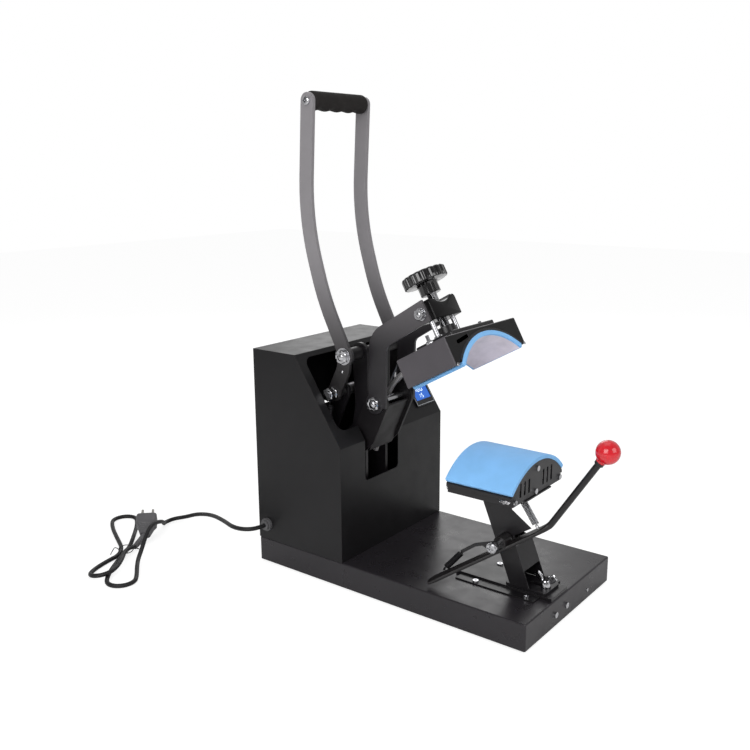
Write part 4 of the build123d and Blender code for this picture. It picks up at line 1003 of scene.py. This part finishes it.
class Fasteners(Operator):
    """Nuts, domed bolt ends, washers, cross-head screws, threads and the wing nut"""
    bl_idname = "cap_press.fasteners"
    bl_label = "Fasteners"

    def execute(self, context):
        rivet = [(0, 0), (2.6, 0), (2.4, 0.9), (1.5, 1.4), (0, 1.6)]
        flange = [(0, 0), (8, 0), (8.4, 0.4), (8.2, 1.0), (0, 1.0)]
        for name, body, node, shells in (
            ("handle_nuts", "handle", "handle_fasteners",
             pair(nut, 71, CRANK_PIVOT, 19, 5) + pair(nut, 82.5, CRANK_PIVOT, 19, 5)
             + pair(cross_head, 71, GRIP_AT, 7, 5) + pair(rod, 41, GRIP_AT, 4, 30, 20)
             + pair(turned, 70.8, (99.5, 353.5), rivet, 20)),
            ("crank_threads", "handle", "crank_bolt",
             [threaded(beside(-88, CRANK_PIVOT), X, 6, 32), rod(beside(-56, CRANK_PIVOT), X, 6, 112),
              threaded(beside(56, CRANK_PIVOT), X, 6, 32)]),
            ("hinge_nuts", "base", "pivot_nuts",
             pair(nut, 72, HANDLE_PIVOT, 20.5, 7.2, dome=6.4) + pair(disc, 71.2, HANDLE_PIVOT, 14, 1.3, up_by=0.4)
             + pair(nut, 36.5, SWING_PIVOT, 27, 5)),
            ("arm_nuts", "arm", "arm_bolts",
             [rod(beside(-41, ELBOW_PIVOT), X, 7, 82)] + pair(nut, 41, ELBOW_PIVOT, 21, 6.4, dome=6.6)
             + pair(nut, 41, ARM_BOLT, 16, 6.2, 10, 5) + pair(rod, 36, ARM_BOLT, 6, 5, 24)),
            ("platen_threads", "platen", "platen_studs", self.platen_threads()),
            ("pressure_thread", "screw", "pressure_screw", self.pressure_thread()),
            ("lever_bolt_head", "post", None,
             [turned((-106.1, *LEVER_PIN), -X, flange, 40), cross_head((-107.1, *LEVER_PIN), -X, 7.6, 2.4)]),
            ("hood_screws", "platen", None,
             [opened(cross_head(beside(out, (-209.3, 229.6)), -Y, 2.6, 1.5)) for out in (-96.5, 96.5)]),
            ("cast_wing_nut", "clamp", "wing_nut", self.wing_nut()),
        ):
            crease = 40 if body == "clamp" else 35
            piece(name, shells, finishes()["zinc"], body, (node,) if node else (), crease)
        return {"FINISHED"}

    def platen_threads(self):
        """Studs of the upper platen with nuts and washers, and its two guide pins."""
        shells = []
        for out in (-74, 74):
            foot, top = np.sqrt(125.5 ** 2 - out ** 2) + PAD_CENTRE_Z + 2.6, 289.6
            shells.append(threaded(beside(out, (STUD_Y, foot)), Z, 3, top - foot, 1.25))
            shells.append(disc(beside(out, (STUD_Y, 273.6)), Z, 8, WASHER, sides=40))
            shells += nut(beside(out, (STUD_Y, 275.2)), Z, 10, 5.4)
        for out in (-28.8, 28.8):
            pin = [(0, 0), (4, 0), (4, 52.2), (3.4, 53), (0, 53)]
            shells.append(turned(beside(out, (SCREW_Y, 284.6)), Z, pin, 28))
            shells += nut(beside(out, (SCREW_Y, 281.6)), Z, 13, 5)
        return [opened(s) for s in shells]

    def pressure_thread(self):
        """Pressure screw with the collar that turns in the upper platen."""
        collar = [(0, 0), (11, 0), (11, 9.3), (8, 9.6), (8, 15.2), (0, 15.2)]
        return [opened(threaded(beside(0, (SCREW_Y, 297.0)), Z, 8, 56, 2.0)),
                opened(turned(beside(0, (SCREW_Y, 281.9)), Z, collar, 40))]

    def wing_nut(self):
        """Wing nut: a hub with two ears that swell and lean outwards."""
        profile = [(0, 0), (7.6, 0), (8, 0.5), (7.2, 9), (6.2, 10.7), (0, 10.7)]
        shells = [turned(beside(0, (WING_NUT_Y, 54.3)), Z, profile)]
        for s in SIDES:
            run = ((3, 60), (7, 64), (12, 70), (16, 74))
            line = soft_path([beside(0, (WING_NUT_Y + s * out, z)) for out, z in run], 8)
            wide = 3.2 + 2.6 * np.sin(np.linspace(0, np.pi * 0.75, len(line)))
            shells.append(sweep(line, wide, 1.7, (0, 0.7 * s, -0.7), 24, 2.4, 1.2))
        return shells


# ---------------------------------------------------------------- panel
SEGMENTS = {"0": "abcdef", "1": "bc", "5": "afgcd", "8": "abcdefg"}
CORNERS = {"a": ((-1, 1), (1, 1)), "b": ((1, 1), (1, 0)), "c": ((1, 0), (1, -1)), "d": ((-1, -1), (1, -1)),
           "e": ((-1, 0), (-1, -1)), "f": ((-1, 1), (-1, 0)), "g": ((-1, 0), (1, 0))}


def digit(text, x, s, wide, tall):
    """Outlines of a seven-segment digit: each segment is a six-sided bar between two corners of the figure eight."""
    out = []
    for key in SEGMENTS[text]:
        a, b = np.array(CORNERS[key]) * (wide / 2, tall / 2)
        d = unit(b - a)
        n = np.array([-d[1], d[0]]) * 0.75
        a, b = a + d * 0.9, b - d * 0.9
        out.append(np.array([a - d * 0.6, a - n, b - n, b + d * 0.6, b + n, a + n]) + (x, s))
    return out


class TimerPanel(Operator):
    """Display digits, key signs and the pale line round the timer panel"""
    bl_idname = "cap_press.timer_panel"
    bl_label = "Timer panel"

    def execute(self, context):
        look = finishes()
        big = [digit(text, x, 52, 5.4, 10) for text, x in (("1", 98), ("8", 107), ("0", 116))]
        small = [digit(text, x, 38.5, 4, 7) for text, x in (("1", 104), ("5", 112))]
        patch("display_digits", sum(big + small, []), (1.925, 1.8), look["digits"], "base")
        triangle = np.array([(-2.4, -1.5), (2.4, -1.5), (0, 2.4)])
        for name, x, sign in (
            ("key_up", 95, triangle),
            ("key_down", 111, (triangle * (1, -1))[::-1]),
            ("key_set", 127, arc(0, 345, 24, 2)),
        ):
            patch(name + "_sign", [sign + (x, 88)], (4.5, 4.1), look["print"], name)
        corners = np.array([(-1, -1), (1, -1), (1, 1), (-1, 1)]) / 2
        bars = ((111, 109.6, 50, 0.8), (111, 22.4, 50, 0.8), (85.8, 66, 0.8, 88), (136.2, 66, 0.8, 88))
        border = [corners * (w, h) + (x, s) for x, s, w, h in bars]
        patch("panel_border", border, (3.06, 2.8), look["print"], "base")
        return {"FINISHED"}


# ---------------------------------------------------------------- finishes of the CAD nodes, stage
class FrameFinishes(Operator):
    """Paint, plating, rubber and plastic finishes for every part that comes from the frame"""
    bl_idname = "cap_press.frame_finishes"
    bl_label = "Frame finishes"

    def execute(self, context):
        look = finishes()
        for finish, names in NODE_FINISH.items():
            for name in names.split():
                mesh = bpy.data.objects[name].data
                mesh.materials.clear()
                mesh.materials.append(look[finish])
        return {"FINISHED"}


LAMPS = (
    ("key_lamp", (-1.9, -0.3, 1.15), 20, 1.3), ("front_lamp", (-0.1, -2.0, 1.2), 11, 1.2),
    ("top_lamp", (0.2, 0.1, 2.4), 5, 1.6), ("far_lamp", (1.7, 1.2, 1.4), 7, 1.2),
)
LAMP_AIM = (0, 0, 0.35)
EYE_AT = (-1.171874, -0.791242, 0.675322)
EYE_AXES = ((0.610343, -0.792117, -0.005754), (0.185001, 0.135477, 0.973355), (-0.770231, -0.595145, 0.229230))
FLOOR_HALF = 6.0
WHITE = (1, 1, 1, 1)


def stood(name, data, place, right, up, back):
    """Object at a place with its axes along three directions."""
    made = bpy.data.objects.new(name, data)
    turn = Matrix([tuple(v) for v in (right, up, back)]).transposed().to_4x4()
    made.matrix_world = Matrix.Translation(tuple(place)) @ turn
    bpy.context.scene.collection.objects.link(made)
    return made


def rays(tree):
    """Kinds of ray, and a value that is 1 on camera and transmission rays."""
    kinds = add(tree, "ShaderNodeLightPath").outputs
    return kinds, maths(tree, "MAXIMUM", kinds["Is Camera Ray"], kinds["Is Transmission Ray"])


class Studio(Operator):
    """White studio: camera, soft lamps, pale floor and background"""
    bl_idname = "cap_press.studio"
    bl_label = "Studio"

    def execute(self, context):
        scene = context.scene
        scene.view_settings.view_transform = "Standard"
        lens = bpy.data.cameras.new("camera")
        lens.sensor_width = 36.0
        lens.lens = 42.941
        lens.clip_start, lens.clip_end = 0.05, 30.0
        scene.camera = stood("camera", lens, EYE_AT, *EYE_AXES)
        for name, place, watts, wide in LAMPS:
            lamp = bpy.data.lights.new(name, "AREA")
            lamp.energy, lamp.size = watts, wide
            back = unit(np.subtract(place, LAMP_AIM))
            side = unit(np.cross(Z, back))
            stood(name, lamp, place, side, np.cross(back, side), back)
        self.floor(scene)
        self.background(scene)
        return {"FINISHED"}

    def floor(self, scene):
        """White floor that keeps the shadows: it glows a little where the camera sees it."""
        w = FLOOR_HALF
        mesh = bpy.data.meshes.new("floor")
        mesh.from_pydata([(-w, -w, 0), (w, -w, 0), (w, w, 0), (-w, w, 0)], [], [(0, 1, 2, 3)])
        floor = bpy.data.objects.new("floor", mesh)
        scene.collection.objects.link(floor)
        found, tree, shader = blank("white_paper_floor")
        mesh.materials.append(found)
        kinds, seen = rays(tree)
        fill(shader, {
            "Base Color": mixed(tree, kinds["Is Camera Ray"], rgba("#eeeeee"), rgba("#a8a8a8")),
            "Roughness": 0.9,
            "Specular IOR Level": 0.0,
            "Emission Color": WHITE,
            "Emission Strength": maths(tree, "MULTIPLY", seen, 0.8),
        })

    def background(self, scene):
        """White where it is seen, dimmer as a source of light, and in reflections paler towards one side."""
        world = bpy.data.worlds.new("white_studio")
        world.use_nodes = True
        scene.world = world
        tree = world.node_tree
        kinds, seen = rays(tree)
        way = dotted(tree, in_object(tree, "Generated"), (0.79, 0.61, 0.0))
        reflected = ranged(tree, way, (-0.2, 0.8), (0.18, 0.62))
        unseen = ranged(tree, kinds["Is Glossy Ray"], target=(0.45, reflected))
        fill(tree.nodes["Background"], {"Color": WHITE, "Strength": ranged(tree, seen, target=(unseen, 1.0))})


OPERATORS = (Studio, MainsLead, FrameFinishes, SiliconePads, FoilWrap, WoundSprings, HeatSleeve, HandGrip,
             PressureKnob, SideLever, Fasteners, TimerPanel)


class PressPanel(Panel):
    """Cap press pieces"""
    bl_idname = "VIEW3D_PT_cap_press"
    bl_label = "Cap press"
    bl_space_type = "VIEW_3D"
    bl_region_type = "UI"
    bl_category = "Cap press"

    def draw(self, context):
        for group in (context.scene.press_sizes, context.scene.press_colours):
            for key in group.__annotations__:
                self.layout.prop(group, key)
        for operator in OPERATORS:
            self.layout.operator(operator.bl_idname)


CLASSES = (PressSizes, PressColours, *OPERATORS, PressPanel)


def register():
    for cls in CLASSES:
        bpy.utils.register_class(cls)
    bpy.types.Scene.press_sizes = PointerProperty(type=PressSizes)
    bpy.types.Scene.press_colours = PointerProperty(type=PressColours)


def unregister():
    del bpy.types.Scene.press_colours
    del bpy.types.Scene.press_sizes
    for cls in reversed(CLASSES):
        bpy.utils.unregister_class(cls)


def main():
    register()
    for operator in OPERATORS:
        group, name = operator.bl_idname.split(".")
        getattr(getattr(bpy.ops, group), name)()


if __name__ == "__main__":
    main()
